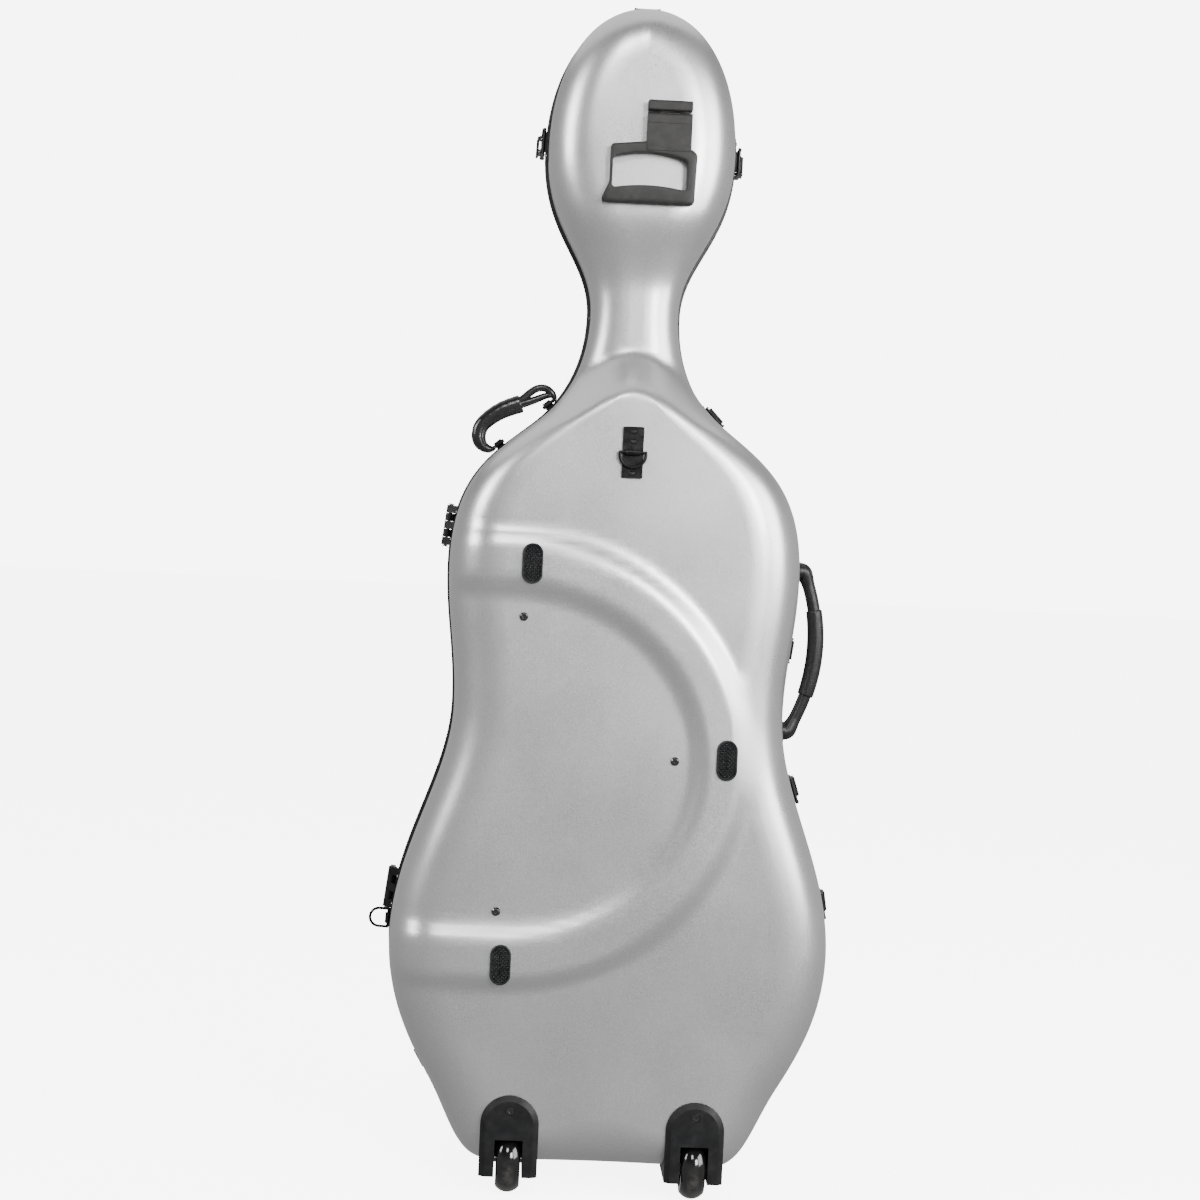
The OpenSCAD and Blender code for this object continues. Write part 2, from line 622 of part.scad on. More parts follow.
// Strap anchor on the back: riveted plate with a fold that holds the ring
module strap_plate() {
  y0 = back_body_d + eps;
  color([0.06, 0.06, 0.06]) translate([0, 0, lift + strap_z]) difference() {
    union() {
      along_y(-y0 - strap_t, -y0) intersection() {
        square([strap_w, strap_h], center = true);
        circle(strap_h / 2 + 1.5);
      }
      translate([-strap_fold_w / 2, -y0 - strap_t - 2.2, 0]) rotate([0, 90, 0])
        cylinder(h = strap_fold_w, r = ring_wire_r + 2);
    }
    translate([-strap_fold_w, -y0 - strap_t - 2.2, 0]) rotate([0, 90, 0])
      cylinder(h = 2 * strap_fold_w, r = ring_wire_r + 0.1);
  }
}
strap_w = 23;
strap_h = 57;
strap_t = 2.5;
strap_fold_w = 16;
strap_ring_y = back_body_d + eps + strap_t + 2.2;
module strap_rivets() {
  color([0.5, 0.5, 0.52]) translate([0, -back_body_d - eps - strap_t, lift + strap_z])
    for (z = [23, 12, -23]) translate([0, 0, z]) rotate([90, 0, 0]) rivet_head(2.8);
}
// A wire ring: a straight bar along X, two short sides and a half round, toward -Z
module wire_ring(w, h) {
  r = w / 2 - ring_wire_r;
  side = h - r - 2 * ring_wire_r;
  translate([-r, 0, 0]) rotate([0, 90, 0]) cylinder(h = 2 * r, r = ring_wire_r, $fn = 24);
  for (x = [-r, r]) translate([x, 0, 0]) {
    sphere(ring_wire_r, $fn = 24);
    translate([0, 0, -side]) cylinder(h = side, r = ring_wire_r, $fn = 24);
  }
  translate([0, 0, -side]) rotate([90, 0, 0]) rotate(180) rotate_extrude(angle = 180)
    translate([r, 0]) circle(ring_wire_r, $fn = 24);
}
module back_ring() {
  color([0.25, 0.25, 0.26]) translate([0, -strap_ring_y, lift + strap_z]) wire_ring(back_ring_w, back_ring_h);
}

// Wire ring on the left side, below the lower hinge
side_ring_s = wall_at(hinge_low_z - 32, -1);
side_ring_n = 5.2;
side_ring_y = -22;
module side_ring_tab() {
  color([0.1, 0.1, 0.1]) translate([0, 0, lift]) {
    wall_plate(side_ring_s, 15, side_ring_y - 12, side_ring_y + 12, eps, latch_plate_t);
    on_wall(side_ring_s) translate([-6, side_ring_y, side_ring_n]) rotate([0, 90, 0]) difference() {
      cylinder(h = 12, r = ring_wire_r + 1.9);
      translate([0, 0, -1]) cylinder(h = 14, r = ring_wire_r + 0.1);
    }
  }
}
module side_ring() {
  color([0.3, 0.3, 0.31]) translate([0, 0, lift]) on_wall(side_ring_s)
    translate([0, side_ring_y, side_ring_n]) rotate([180, 0, 0]) wire_ring(24, 24);
}

// Pull handle on the head: a fixed block, a pin and a swinging stem with a framed grip
head_pin_z = head_z + 28;
head_pin_y = back_head_d + 8;
grip_z = head_z - 33;        // middle of the framed grip
module head_handle_mount() {
  color([0.2, 0.2, 0.2]) translate([0, 0, lift]) difference() {
    union() {
      translate([stem_x0, -back_head_d - 14, head_pin_z + 6.5]) cube([stem_w, 14 - eps, 11.5]);
      along_x(stem_x0 + stem_w / 2 - 10, stem_x0 + stem_w / 2 + 10) {
        translate([-head_pin_y, head_pin_z]) circle(5.5);
        translate([-back_head_d - 13.5, head_pin_z]) square([13.5 - eps, 8]);
      }
    }
    translate([stem_x0 - 1, -head_pin_y, head_pin_z]) rotate([0, 90, 0]) cylinder(h = stem_w + 2, r = 2.52);
  }
}
stem_x0 = 1;
stem_w = 50;
module head_handle_pin() {
  color([0.3, 0.3, 0.31]) translate([stem_x0 + 0.5, -head_pin_y, lift + head_pin_z]) rotate([0, 90, 0])
    cylinder(h = stem_w - 1, r = 2.5);
}
module head_handle() {
  y0 = -back_head_d - 13;
  y1 = -back_head_d - 2.5;
  color([0.2, 0.2, 0.2]) translate([0, 0, lift]) difference() {
    union() {
      for (x = [stem_x0, stem_x0 + stem_w / 2 + 10.4]) along_x(x, x + stem_w / 2 - 10.4) {
        translate([-head_pin_y, head_pin_z]) circle(5.5);
        translate([y0, head_pin_z - 9]) square([y1 - y0, 9]);
      }
      along_y(y0, y1) {
        polygon([[stem_x0, head_pin_z - 8], [stem_x0 + stem_w, head_pin_z - 8],
                 [stem_x0 + stem_w, grip_z + 22], [stem_x0, grip_z + 22]]);
        difference() {
          translate([0, grip_z]) polygon([[-36, 29], [-38.5, 27], [-38.5, -13], [-47, -32], [-45, -36],
            [54, -36], [57, -33], [58.5, 20], [56, 23], [50, 27], [2, 33]]);
          intersection() {
            translate([6, grip_z]) square([83, 60], center = true);
            translate([4, grip_z - 109.5]) circle(130, $fn = 160);
            difference() {
              translate([6, grip_z]) square([90, 60], center = true);
              translate([4, grip_z - 216]) circle(200, $fn = 240);
            }
          }
        }
      }
    }
    translate([stem_x0 - 1, -head_pin_y, head_pin_z]) rotate([0, 90, 0]) cylinder(h = stem_w + 2, r = 2.58);
  }
}

// Side handle on the right: an arched grip with grooved ends
side_a = wall_at(side_grip_top_z, 1);
side_b = wall_at(side_grip_low_z, 1);
side_y = -42;
side_end_n = 9;
side_chord = norm(side_a[0] - side_b[0]);
side_sag = side_grip_off - side_end_n;
side_arc_r = (side_chord * side_chord / 4 + side_sag * side_sag) / (2 * side_sag);
side_half = asin(side_chord / 2 / side_arc_r);
side_mid = (side_a[0] + side_b[0]) / 2;
side_axis = unit(side_a[0] - side_b[0]);
module on_side_arc() {
  translate([side_mid[0], side_y, side_mid[1]]) rotate([0, atan2(side_axis[0], side_axis[1]), 0])
    translate([side_grip_off - side_arc_r, 0, 0]) rotate([90, 0, 0]) children();
}
module arc_tube(r_arc, a0, a1, r) {
  rotate(a0) rotate_extrude(angle = a1 - a0, $fn = 96) translate([r_arc, 0]) circle(r, $fn = 32);
}
side_grip_half = side_half * 0.52;
module side_handle_grip() {
  color([0.1, 0.1, 0.1]) translate([0, 0, lift]) on_side_arc()
    arc_tube(side_arc_r, -side_grip_half, side_grip_half, side_grip_r);
}
module side_handle_ends() {
  collar = 2;
  color([0.1, 0.1, 0.1]) translate([0, 0, lift]) {
    on_side_arc() for (m = [0, 1]) mirror([0, m, 0]) {
      arc_tube(side_arc_r, side_grip_half + 0.05, side_half, side_grip_r - 2.2);
      arc_tube(side_arc_r, side_grip_half + 0.05, side_grip_half + collar, side_grip_r + 0.6);
    }
    for (s = [side_a, side_b]) {
      wall_plate(s, 26, side_y - 12, side_y + 12, eps, 3);
      on_wall(s) translate([0, side_y, 2]) cylinder(h = side_end_n - 2, r1 = 10, r2 = 7.2);
      on_wall(s) translate([0, side_y, side_end_n]) sphere(side_grip_r - 2.2);
    }
  }
}

// Shoulder handle on the left: a padded grip and a corded loop on two riveted tabs
shoulder_low = wall_at(neck_z - 160, -1);
shoulder_high = wall_at(neck_z - 112, -1);
shoulder_y = -28;
shoulder_n = 7;
shoulder_a = reach(shoulder_low, shoulder_n);
shoulder_b = reach(shoulder_high, shoulder_n);
shoulder_dir = unit(shoulder_b - shoulder_a);
// Runs along the pivot line, from the lower tab
module on_shoulder_pivot(p) {
  translate([p[0], shoulder_y, p[1]]) rotate([0, atan2(shoulder_dir[0], shoulder_dir[1]), 0]) children();
}
module shoulder_tabs() {
  color([0.1, 0.1, 0.1]) translate([0, 0, lift]) {
    for (s = [shoulder_low, shoulder_high]) {
      wall_plate(s, 18, shoulder_y - 12, shoulder_y + 12, eps, latch_plate_t);
      on_wall(s) translate([-5, shoulder_y - 2.5, 1.5]) cube([10, 5, 2.6]);
    }
    for (p = [shoulder_a, shoulder_b]) on_shoulder_pivot(p) translate([0, 0, -5]) difference() {
      cylinder(h = 10, r = 4);
      translate([0, 0, -1]) cylinder(h = 12, r = 2.1);
    }
  }
}
// The handle's line in X and Z with its radius: lower rod, arm, padded grip, loop, upper rod
function on_pivot(p, along, r) = concat(p + along * shoulder_dir, [r]);
shoulder_line = concat(
  [on_pivot(shoulder_a, 7, 2), on_pivot(shoulder_a, -6.5, 2), on_pivot(shoulder_a, -10, 2.6)],
  [[-164, neck_z - 161, 4.5], [-171, neck_z - 155, 7.4], [-173.6, neck_z - 147, 8.4]],
  [[-171.4, neck_z - 135.7, 8.7], [-163, neck_z - 126.5, 9.2], [-149.8, neck_z - 117, 9.8]],
  [[-137, neck_z - 111.4, 10.2], [-127, neck_z - 108, 10.2], [-123, neck_z - 106, 7]],
  [[-121, neck_z - 99, 4], [-113, neck_z - 90, 4], [-102, neck_z - 87, 4]],
  [[-92, neck_z - 92, 3.8], on_pivot(shoulder_b, 11, 2.6), on_pivot(shoulder_b, 6.5, 2)],
  [on_pivot(shoulder_b, -7, 2)]);
// The second strand of the loop, straight from the grip's end to the upper rod
shoulder_strand = [[-128, neck_z - 107, 4], [-110, neck_z - 100.5, 3.4], [-95, neck_z - 95, 2.6],
  on_pivot(shoulder_b, 10.5, 1.8)];
// Cuts the corners of a path, keeping its ends
function cut_corners(path) = let (n = len(path)) concat(
  [path[0]],
  [for (i = [0:n - 2]) each [mix(path[i], path[i + 1], 0.25), mix(path[i], path[i + 1], 0.75)]],
  [path[n - 1]]);
// A round tube along a path of [x, z, radius] at one depth, closed by flat ends
module tube(path, y, sides) {
  n = len(path);
  points = [for (i = [0:n - 1]) let (
      d = path[min(n - 1, i + 1)] - path[max(0, i - 1)],
      u = unit([d[0], d[1]]),
      r = path[i][2])
    for (k = [0:sides - 1]) let (a = 360 * k / sides)
      [path[i][0] - u[1] * r * cos(a), y + r * sin(a), path[i][1] + u[0] * r * cos(a)]];
  polyhedron(points = points, faces = concat(
    [[for (k = [0:sides - 1]) sides - 1 - k], [for (k = [0:sides - 1]) (n - 1) * sides + k]],
    [for (i = [0:n - 2]) for (k = [0:sides - 1]) let (
        a = i * sides + k, b = i * sides + (k + 1) % sides)
      each [[a, b, a + sides], [b, b + sides, a + sides]]]));
}
module shoulder_handle() {
  color([0.05, 0.05, 0.05]) translate([0, 0, lift]) {
    tube(cut_corners(shoulder_line), shoulder_y, 14);
    tube(cut_corners(shoulder_strand), shoulder_y, 10);
  }
}

// Rim trims and foam lining
module rim_trim(y) {
  color([0.08, 0.08, 0.08]) translate([0, 0, lift]) along_y(y, y + trim_h) difference() {
    polygon(outline(trim_out));
    polygon(outline(-trim_in));
  }
}
module back_rim_trim() rim_trim(-trim_h);
module lid_rim_trim() rim_trim(rim_gap);
module lid_shell() {
  color("silver") translate([0, 0, lift]) mirror([0, 1, 0])
    shell_solid(true, samples, coarse, 0, shell_t, rings(4, 6), rings(4, 6), trim_h + rim_gap);
}
module liner(is_lid, n_face, rim_y) {
  shell_solid(is_lid, coarse, coarse, liner_in, liner_in + liner_t, rings(4, n_face), rings(3, 4), rim_y);
}
liner_in = shell_t + liner_gap;
inner_d = -(liner_in + liner_t + liner_gap);     // outline offset of what lies on the lining
module back_liner() {
  color([0.1, 0.1, 0.12]) translate([0, 0, lift]) difference() {
    liner(false, 4, trim_h + liner_gap);
    wheel_wells();
  }
}
module lid_liner() {
  color([0.1, 0.1, 0.12]) translate([0, 0, lift]) mirror([0, 1, 0])
    liner(true, 6, trim_h + rim_gap + liner_gap);
}

// Padding that holds the instrument in the back
module bout_pads() {
  color([0.16, 0.16, 0.2]) translate([0, 0, lift]) for (side = [-1, 1]) {
    wall_plate(wall_at(upper_z, side), 110, -body_band + 3, -8, inner_d - 26, inner_d, coarse);
    wall_plate(wall_at(lower_z, side), 130, -body_band + 3, -8, inner_d - 30, inner_d, coarse);
  }
}
module end_block() {
  color([0.16, 0.16, 0.2]) translate([0, 0, lift]) difference() {
    translate([-50, -body_band + 3, -inner_d]) cube([100, body_band - 11, 30]);
    translate([0, -34, -inner_d + 8]) cylinder(h = 30, r = 14);
  }
}
module neck_cradle() {
  deep = back_neck_d + inner_d;
  color([0.16, 0.16, 0.2]) translate([0, 0, lift + neck_z - 20]) linear_extrude(40) difference() {
    polygon([[-33, -22], [-33, -34], [-27, -deep + 9.6], [-5, -deep + 0.2], [5, -deep + 0.2],
             [27, -deep + 9.6], [33, -34], [33, -22]]);
    translate([0, -20]) circle(22);
  }
}
module neck_strap() {
  color([0.06, 0.06, 0.06]) translate([-33, -21.8, lift + neck_z - 10]) cube([66, 2, 20]);
}

// Bow holders in the lid: a sleeve for each tip and a turning button for each frog
bow_x = 62;
tip_z = 764;
frog_z = 130;
function lid_face(x, z, seat) = lid_depth(x, z, true) + inner_d - seat;
button_y = lid_face(bow_x, frog_z, 1.1) - 10;
sleeve_y = lid_face(bow_x, tip_z, 1.8) - 18;
module bow_holders() {
  color([0.12, 0.12, 0.14]) translate([0, 0, lift]) for (x = [-bow_x, bow_x]) {
    translate([x, sleeve_y, tip_z]) difference() {
      translate([-15, 0, 0]) cube([30, 18, 46]);
      translate([-12, 3, -1]) cube([24, 12, 44]);
    }
    translate([x - 14, button_y, frog_z - 16]) cube([28, 10, 32]);
    translate([x, button_y, frog_z]) rotate([90, 0, 0]) cylinder(h = 7, r = 2.5, $fn = 32);
  }
}
module bow_button(side) {
  color([0.3, 0.3, 0.31]) translate([side * bow_x, button_y - 0.3, lift + frog_z]) rotate([90, 0, 0])
    difference() {
      linear_extrude(5) union() {
        translate([-16, -5]) square([32, 10]);
        translate([-16, 0]) circle(5, $fn = 32);
        translate([16, 0]) circle(5, $fn = 32);
      }
      translate([0, 0, -1]) cylinder(h = 8, r = 2.56, $fn = 32);
    }
}

back_shell();
back_rim_trim();
back_liner();
back_pads();
band_screws();
neck_screws();
strap_plate();
strap_rivets();
head_handle_mount();
head_handle_pin();
side_handle_grip();
side_handle_ends();
shoulder_tabs();
wheel_housings();
wheel_axles();
housing_screws();
hinge_back_leaves();
hinge_pins();
side_ring_tab();
latch_keepers();
back_rivets();
neck_cradle();
neck_strap();
bout_pads();
end_block();
back_ring();
side_ring();
head_handle();
shoulder_handle();
lid_shell();
lid_rim_trim();
lid_liner();
stand_feet();
hinge_lid_leaves();
latch_bases();
latch_pins();
lid_rivets();
bow_holders();
tyre(-1);  // tyre_left
tyre(1);  // tyre_right
hub(-1);  // hub_left
hub(1);  // hub_right
bow_button(-1);  // bow_button_left
bow_button(1);  // bow_button_right
latch_lever(latch_sites[0]);  // latch_lever_top
latch_lever(latch_sites[1]);  // latch_lever_head_left
latch_lever(latch_sites[2]);  // latch_lever_head_right
latch_lever(latch_sites[3]);  // latch_lever_shoulder
latch_lever(latch_sites[4]);  // latch_lever_waist
latch_lever(latch_sites[5]);  // latch_lever_flank
latch_lever(latch_sites[6]);  // latch_lever_bout
latch_lever(latch_sites[7]);  // latch_lever_base
latch_hook(latch_sites[0]);  // latch_hook_top
latch_hook(latch_sites[1]);  // latch_hook_head_left
latch_hook(latch_sites[2]);  // latch_hook_head_right
latch_hook(latch_sites[3]);  // latch_hook_shoulder
latch_hook(latch_sites[4]);  // latch_hook_waist
latch_hook(latch_sites[5]);  // latch_hook_flank
latch_hook(latch_sites[6]);  // latch_hook_bout
latch_hook(latch_sites[7]);  // latch_hook_base
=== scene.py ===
"""Looks of a hard case for a cello: moulded shells, rim, hardware, handles, wheels and lining."""
from __future__ import annotations

import logging
import math
from dataclasses import dataclass, field
from enum import Enum
from typing import Any, Callable, Iterable

import bpy
import numpy as np
from mathutils import Matrix, Vector


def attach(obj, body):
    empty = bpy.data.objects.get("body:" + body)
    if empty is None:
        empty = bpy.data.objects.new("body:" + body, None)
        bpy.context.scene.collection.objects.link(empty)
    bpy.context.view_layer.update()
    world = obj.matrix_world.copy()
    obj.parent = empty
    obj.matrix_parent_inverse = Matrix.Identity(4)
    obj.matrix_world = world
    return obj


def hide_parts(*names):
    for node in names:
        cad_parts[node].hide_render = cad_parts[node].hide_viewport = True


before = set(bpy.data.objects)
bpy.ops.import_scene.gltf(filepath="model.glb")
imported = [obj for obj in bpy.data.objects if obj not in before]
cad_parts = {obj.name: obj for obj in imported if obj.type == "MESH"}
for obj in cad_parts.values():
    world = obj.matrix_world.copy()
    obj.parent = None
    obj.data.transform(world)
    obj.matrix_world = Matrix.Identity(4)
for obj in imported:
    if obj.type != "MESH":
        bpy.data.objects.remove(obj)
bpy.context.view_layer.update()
MM = 0.001
LIFT = 28.0  # the wheels and feet hold the shell this far off the ground, in millimetres
log = logging.getLogger("cello_case")
Array = np.ndarray
Pair = tuple[float, float]
Triple = tuple[float, float, float]
Skin = tuple[Array, Any]  # points, and faces as lists or rows of point numbers
Socket = bpy.types.NodeSocket
Material = bpy.types.Material


class Side(Enum):
    """The side of the parting line that a shell lies on."""

    BACK = -1.0
    LID = 1.0


# Shader building


class Value:
    """A number socket; arithmetic on it adds Math nodes."""

    def __init__(self, graph: "Graph", socket: Socket) -> None:
        """Keeps the graph and the output socket."""
        self.graph = graph
        self.socket = socket

    def math(self, operation: str, *others: "Value | float") -> "Value":
        """Adds one Math node.

        Args:
            operation: the Math node's operation.
            others: the second and third operands.

        Returns:
            The node's result.
        """
        made = self.graph.node("ShaderNodeMath", {"operation": operation}, dict(enumerate((self, *others))))
        return Value(self.graph, made.outputs[0])

    def __add__(self, other: "Value | float") -> "Value":
        """Adds."""
        return self.math("ADD", other)

    def __mul__(self, other: "Value | float") -> "Value":
        """Multiplies."""
        return self.math("MULTIPLY", other)

    def __sub__(self, other: "Value | float") -> "Value":
        """Subtracts."""
        return self.math("SUBTRACT", other)

    def __pow__(self, other: "Value | float") -> "Value":
        """Raises to a power."""
        return self.math("POWER", other)

    def sine(self) -> "Value":
        """Returns the sine."""
        return self.math("SINE")

    def ramp(self, low: float, high: float, to_low: float = 0.0, to_high: float = 1.0) -> "Value":
        """Maps a range smoothly to another.

        Args:
            low: value that gives to_low.
            high: value that gives to_high.
            to_low: result at and below low.
            to_high: result at and above high.

        Returns:
            The mapped value.
        """
        made = self.graph.node(
            "ShaderNodeMapRange",
            {"interpolation_type": "SMOOTHSTEP"},
            {0: self, 1: low, 2: high, 3: to_low, 4: to_high},
        )
        return Value(self.graph, made.outputs[0])


class Graph:
    """The node tree of one material."""

    def __init__(self, name: str) -> None:
        """Starts an empty material.

        Args:
            name: the material's name.
        """
        self.material = bpy.data.materials.new(name)
        self.material.use_nodes = True
        self.tree = self.material.node_tree
        self.tree.nodes.clear()
        self.coordinates = self.node("ShaderNodeTexCoord").outputs["Object"]

    def node(
        self,
        kind: str,
        settings: dict[str, Any] | None = None,
        inputs: dict[int | str, Any] | None = None,
    ) -> bpy.types.Node:
        """Adds any node, sets it up, then fills its sockets.

        Args:
            kind: the node's type.
            settings: attributes that are set first.
            inputs: values, sockets or Values by socket name or number.

        Returns:
            The node.
        """
        made = self.tree.nodes.new(kind)
        for key, setting in (settings or {}).items():
            setattr(made, key, setting)
        for key, given in (inputs or {}).items():
            if isinstance(given, Value):
                given = given.socket
            if isinstance(given, Socket):
                self.tree.links.new(given, made.inputs[key])
            else:
                made.inputs[key].default_value = given
        return made

    def stretched(self, scale: Triple) -> Socket:
        """Returns the object coordinates, scaled along each axis."""
        made = self.node("ShaderNodeMapping", None, {"Vector": self.coordinates, "Scale": scale})
        return made.outputs[0]

    def noise(self, size: float, detail: float = 3.0, rough: float = 0.55, vector: Any = None) -> Value:
        """Adds a noise of a given grain.

        Args:
            size: size of the largest grain, in metres.
            detail: octaves.
            rough: strength of the fine octaves.
            vector: coordinates other than the object's.

        Returns:
            The noise, from 0 to 1.
        """
        made = self.node(
            "ShaderNodeTexNoise",
            None,
            {"Vector": vector or self.coordinates, "Scale": 1.0 / size, "Detail": detail, "Roughness": rough},
        )
        return Value(self, made.outputs["Fac"])

    def cells(self, size: float) -> Value:
        """Adds a soft cell pattern and returns its distance."""
        inputs = {"Vector": self.coordinates, "Scale": 1.0 / size}
        made = self.node("ShaderNodeTexVoronoi", {"feature": "SMOOTH_F1"}, inputs)
        return Value(self, made.outputs["Distance"])

    def axis(self, name: str) -> Value:
        """Returns the object coordinate X, Y or Z, in metres."""
        made = self.node("ShaderNodeSeparateXYZ", None, {0: self.coordinates})
        return Value(self, made.outputs[name])

    def blend(self, share: Value | float, first: Any, second: Any) -> Socket:
        """Mixes two colours.

        Args:
            share: how much of the second.
            first: colour or socket.
            second: colour or socket.

        Returns:
            The mixed colour.
        """
        made = self.node("ShaderNodeMix", {"data_type": "RGBA"}, {0: share, 6: rgba(first), 7: rgba(second)})
        return made.outputs[2]

    def bump(self, height: Value, depth: float, normal: Any = None) -> Socket:
        """Turns a height from 0 to 1 into a normal.

        Args:
            height: the height.
            depth: what 1 stands for, in metres.
            normal: a normal that this one adds to.

        Returns:
            The new normal.
        """
        inputs: dict[int | str, Any] = {"Height": height, "Distance": depth, "Strength": 1.0}
        if normal is not None:
            inputs["Normal"] = normal
        return self.node("ShaderNodeBump", None, inputs).outputs[0]

    def rounded(self, radius: float) -> Socket:
        """Returns a normal that rounds the edges over a radius."""
        return self.node("ShaderNodeBevel", {"samples": 4}, {"Radius": radius}).outputs[0]

    def finish(self, **sockets: Any) -> Material:
        """Adds the shader and closes the graph.

        Args:
            sockets: values of the shader's sockets, with _ for a space.

        Returns:
            The material.
        """
        named = {key.replace("_", " "): given for key, given in sockets.items()}
        shader = self.node("ShaderNodeBsdfPrincipled", None, named)
        self.node("ShaderNodeOutputMaterial", None, {0: shader.outputs[0]})
        return self.material


def rgba(colour: Any) -> Any:
    """Gives a plain colour its fourth number and leaves a socket alone."""
    return (*colour, 1.0) if isinstance(colour, tuple) and len(colour) == 3 else colour


# Finishes

@dataclass(frozen=True)
class SatinShell:
    """Silver-grey lacquer with a fine metallic grain."""

    name: str = "satin_shell"
    colour: Triple = (0.60, 0.60, 0.605)
    shade: Triple = (0.50, 0.50, 0.505)
    roughness: float = 0.34

    def material(self) -> Material:
        """Builds the finish."""
        graph = Graph(self.name)
        fleck = graph.noise(0.0011, 2.0, 0.7)
        cloud = graph.noise(0.16, 3.0)
        grain = graph.noise(0.0028, 4.0, 0.65)
        base = graph.blend(fleck.ramp(0.3, 0.75), self.shade, self.colour)
        rough = cloud.ramp(0.3, 0.7, -0.03, 0.04) + fleck.ramp(0.3, 0.7, -0.05, 0.06) + self.roughness
        normal = graph.bump(grain, 0.00010)
        return graph.finish(
            Base_Color=base,
            Roughness=rough,
            Metallic=0.85,
            Normal=normal,
        )


@dataclass(frozen=True)
class MouldedPlastic:
    """Moulded plastic with a light grain and rounded edges."""

    name: str
    colour: Triple = (0.018, 0.018, 0.019)
    roughness: float = 0.38
    edge: float = 0.0004
    grain: float = 0.00003
    metallic: float = 0.0
    gloss: float = 0.3

    def material(self) -> Material:
        """Builds the finish."""
        graph = Graph(self.name)
        wear = graph.noise(0.012, 4.0, 0.6)
        fine = graph.noise(0.0008, 2.0, 0.6)
        lighter = tuple(min(1.0, part * 1.5 + 0.002) for part in self.colour)
        base = graph.blend(wear.ramp(0.35, 0.8), self.colour, lighter)
        rough = wear.ramp(0.3, 0.75, -0.06, 0.08) + self.roughness
        normal = graph.bump(fine, self.grain, graph.rounded(self.edge))
        return graph.finish(
            Base_Color=base,
            Roughness=rough,
            Metallic=self.metallic,
            Normal=normal,
            Specular_IOR_Level=self.gloss,
        )


@dataclass(frozen=True)
class WorkedMetal:
    """Metal with fine brushing along one direction and soft smudges."""

    name: str
    colour: Triple = (0.50, 0.50, 0.52)
    roughness: float = 0.28
    edge: float = 0.0003
    brushing: Triple = (1.0, 1.0, 14.0)

    def material(self) -> Material:
        """Builds the finish."""
        graph = Graph(self.name)
        lines = graph.noise(0.004, 3.0, 0.7, graph.stretched(self.brushing))
        smudge = graph.noise(0.02, 3.0)
        darker = tuple(part * 0.72 for part in self.colour)
        base = graph.blend(smudge.ramp(0.3, 0.8), self.colour, darker)
        rough = smudge.ramp(0.3, 0.7, -0.05, 0.12) + lines.ramp(0.3, 0.7, -0.04, 0.05) + self.roughness
        normal = graph.bump(lines, 0.00002, graph.rounded(self.edge))
        return graph.finish(Base_Color=base, Roughness=rough, Metallic=1.0, Normal=normal)


@dataclass(frozen=True)
class LeatherGrain:
    """Rubber or leather with a pebbled grain."""

    name: str
    colour: Triple = (0.006, 0.006, 0.0065)
    roughness: float = 0.36
    pebble: float = 0.0016
    depth: float = 0.00016
    coat: float = 0.0
    gloss: float = 0.3

    def material(self) -> Material:
        """Builds the finish."""
        graph = Graph(self.name)
        pebbles = graph.cells(self.pebble).ramp(0.1, 0.75, 1.0, 0.0)
        crease = graph.noise(self.pebble * 4.0, 3.0)
        height = pebbles * 0.75 + crease * 0.25
        lighter = tuple(part * 1.9 + 0.002 for part in self.colour)
        base = graph.blend(height.ramp(0.35, 0.85), self.colour, lighter)
        rough = height.ramp(0.2, 0.8, 0.1, -0.06) + self.roughness
        normal = graph.bump(height, self.depth)
        return graph.finish(
            Base_Color=base,
            Roughness=rough,
            Normal=normal,
            Coat_Weight=self.coat,
            Coat_Roughness=0.2,
            Specular_IOR_Level=self.gloss,
        )


@dataclass(frozen=True)
class TyreRubber:
    """Glossy black rubber whose tread below the axle is painted a lighter grey-brown: a painted reflection of
    the floor, broken into patches by dust noise; placed by the distance from the axle line and the height.
    """

    name: str = "tyre_rubber"
    axle_y: float = -0.116
    axle_z: float = 0.036
    tread_from: float = 0.0335
    tread_to: float = 0.0360

    def material(self) -> Material:
        """Builds the finish."""
        graph = Graph(self.name)
        across = graph.axis("Y") - self.axle_y
        along = graph.axis("Z") - self.axle_z
        tread = ((across * across + along * along) ** 0.5).ramp(self.tread_from, self.tread_to)
        dust = graph.noise(0.009, 5.0, 0.6)
        # low marks the painted floor reflection: 1 below the axle and 0 above, fixed by height however the
        # wheel turns
        low = (graph.axis("Z") - self.axle_z).ramp(-0.012, 0.010, 1.0, 0.0)
        worn = dust.ramp(0.25, 0.65) * tread * low
        # the lighter colour that worn mixes in is a painted reflection of the floor on the lower tread,
        # patched by the dust noise
        base = graph.blend(worn, (0.004, 0.004, 0.004), (0.040, 0.037, 0.033))
        rough = worn * 0.4 + dust.ramp(0.3, 0.7, 0.0, 0.04) + 0.10
        normal = graph.bump(dust, 0.00003)
        return graph.finish(
            Base_Color=base, Roughness=rough, Normal=normal, Coat_Weight=0.3, Coat_Roughness=0.1
        )


@dataclass(frozen=True)
class Plush:
    """Short-pile lining cloth over foam."""

    name: str = "plush"
    colour: Triple = (0.030, 0.031, 0.036)
    pile: float = 0.0013

    def material(self) -> Material:
        """Builds the finish."""
        graph = Graph(self.name)
        tuft = graph.noise(self.pile, 3.0, 0.8)
        lay = graph.noise(0.05, 3.0, 0.5)
        lighter = tuple(part * 2.6 + 0.006 for part in self.colour)
        base = graph.blend(tuft.ramp(0.3, 0.8) * 0.6 + lay.ramp(0.3, 0.7) * 0.4, self.colour, lighter)
        normal = graph.bump(tuft, 0.0007)
        return graph.finish(
            Base_Color=base, Roughness=0.95, Normal=normal, Sheen_Weight=0.5, Sheen_Roughness=0.4
        )


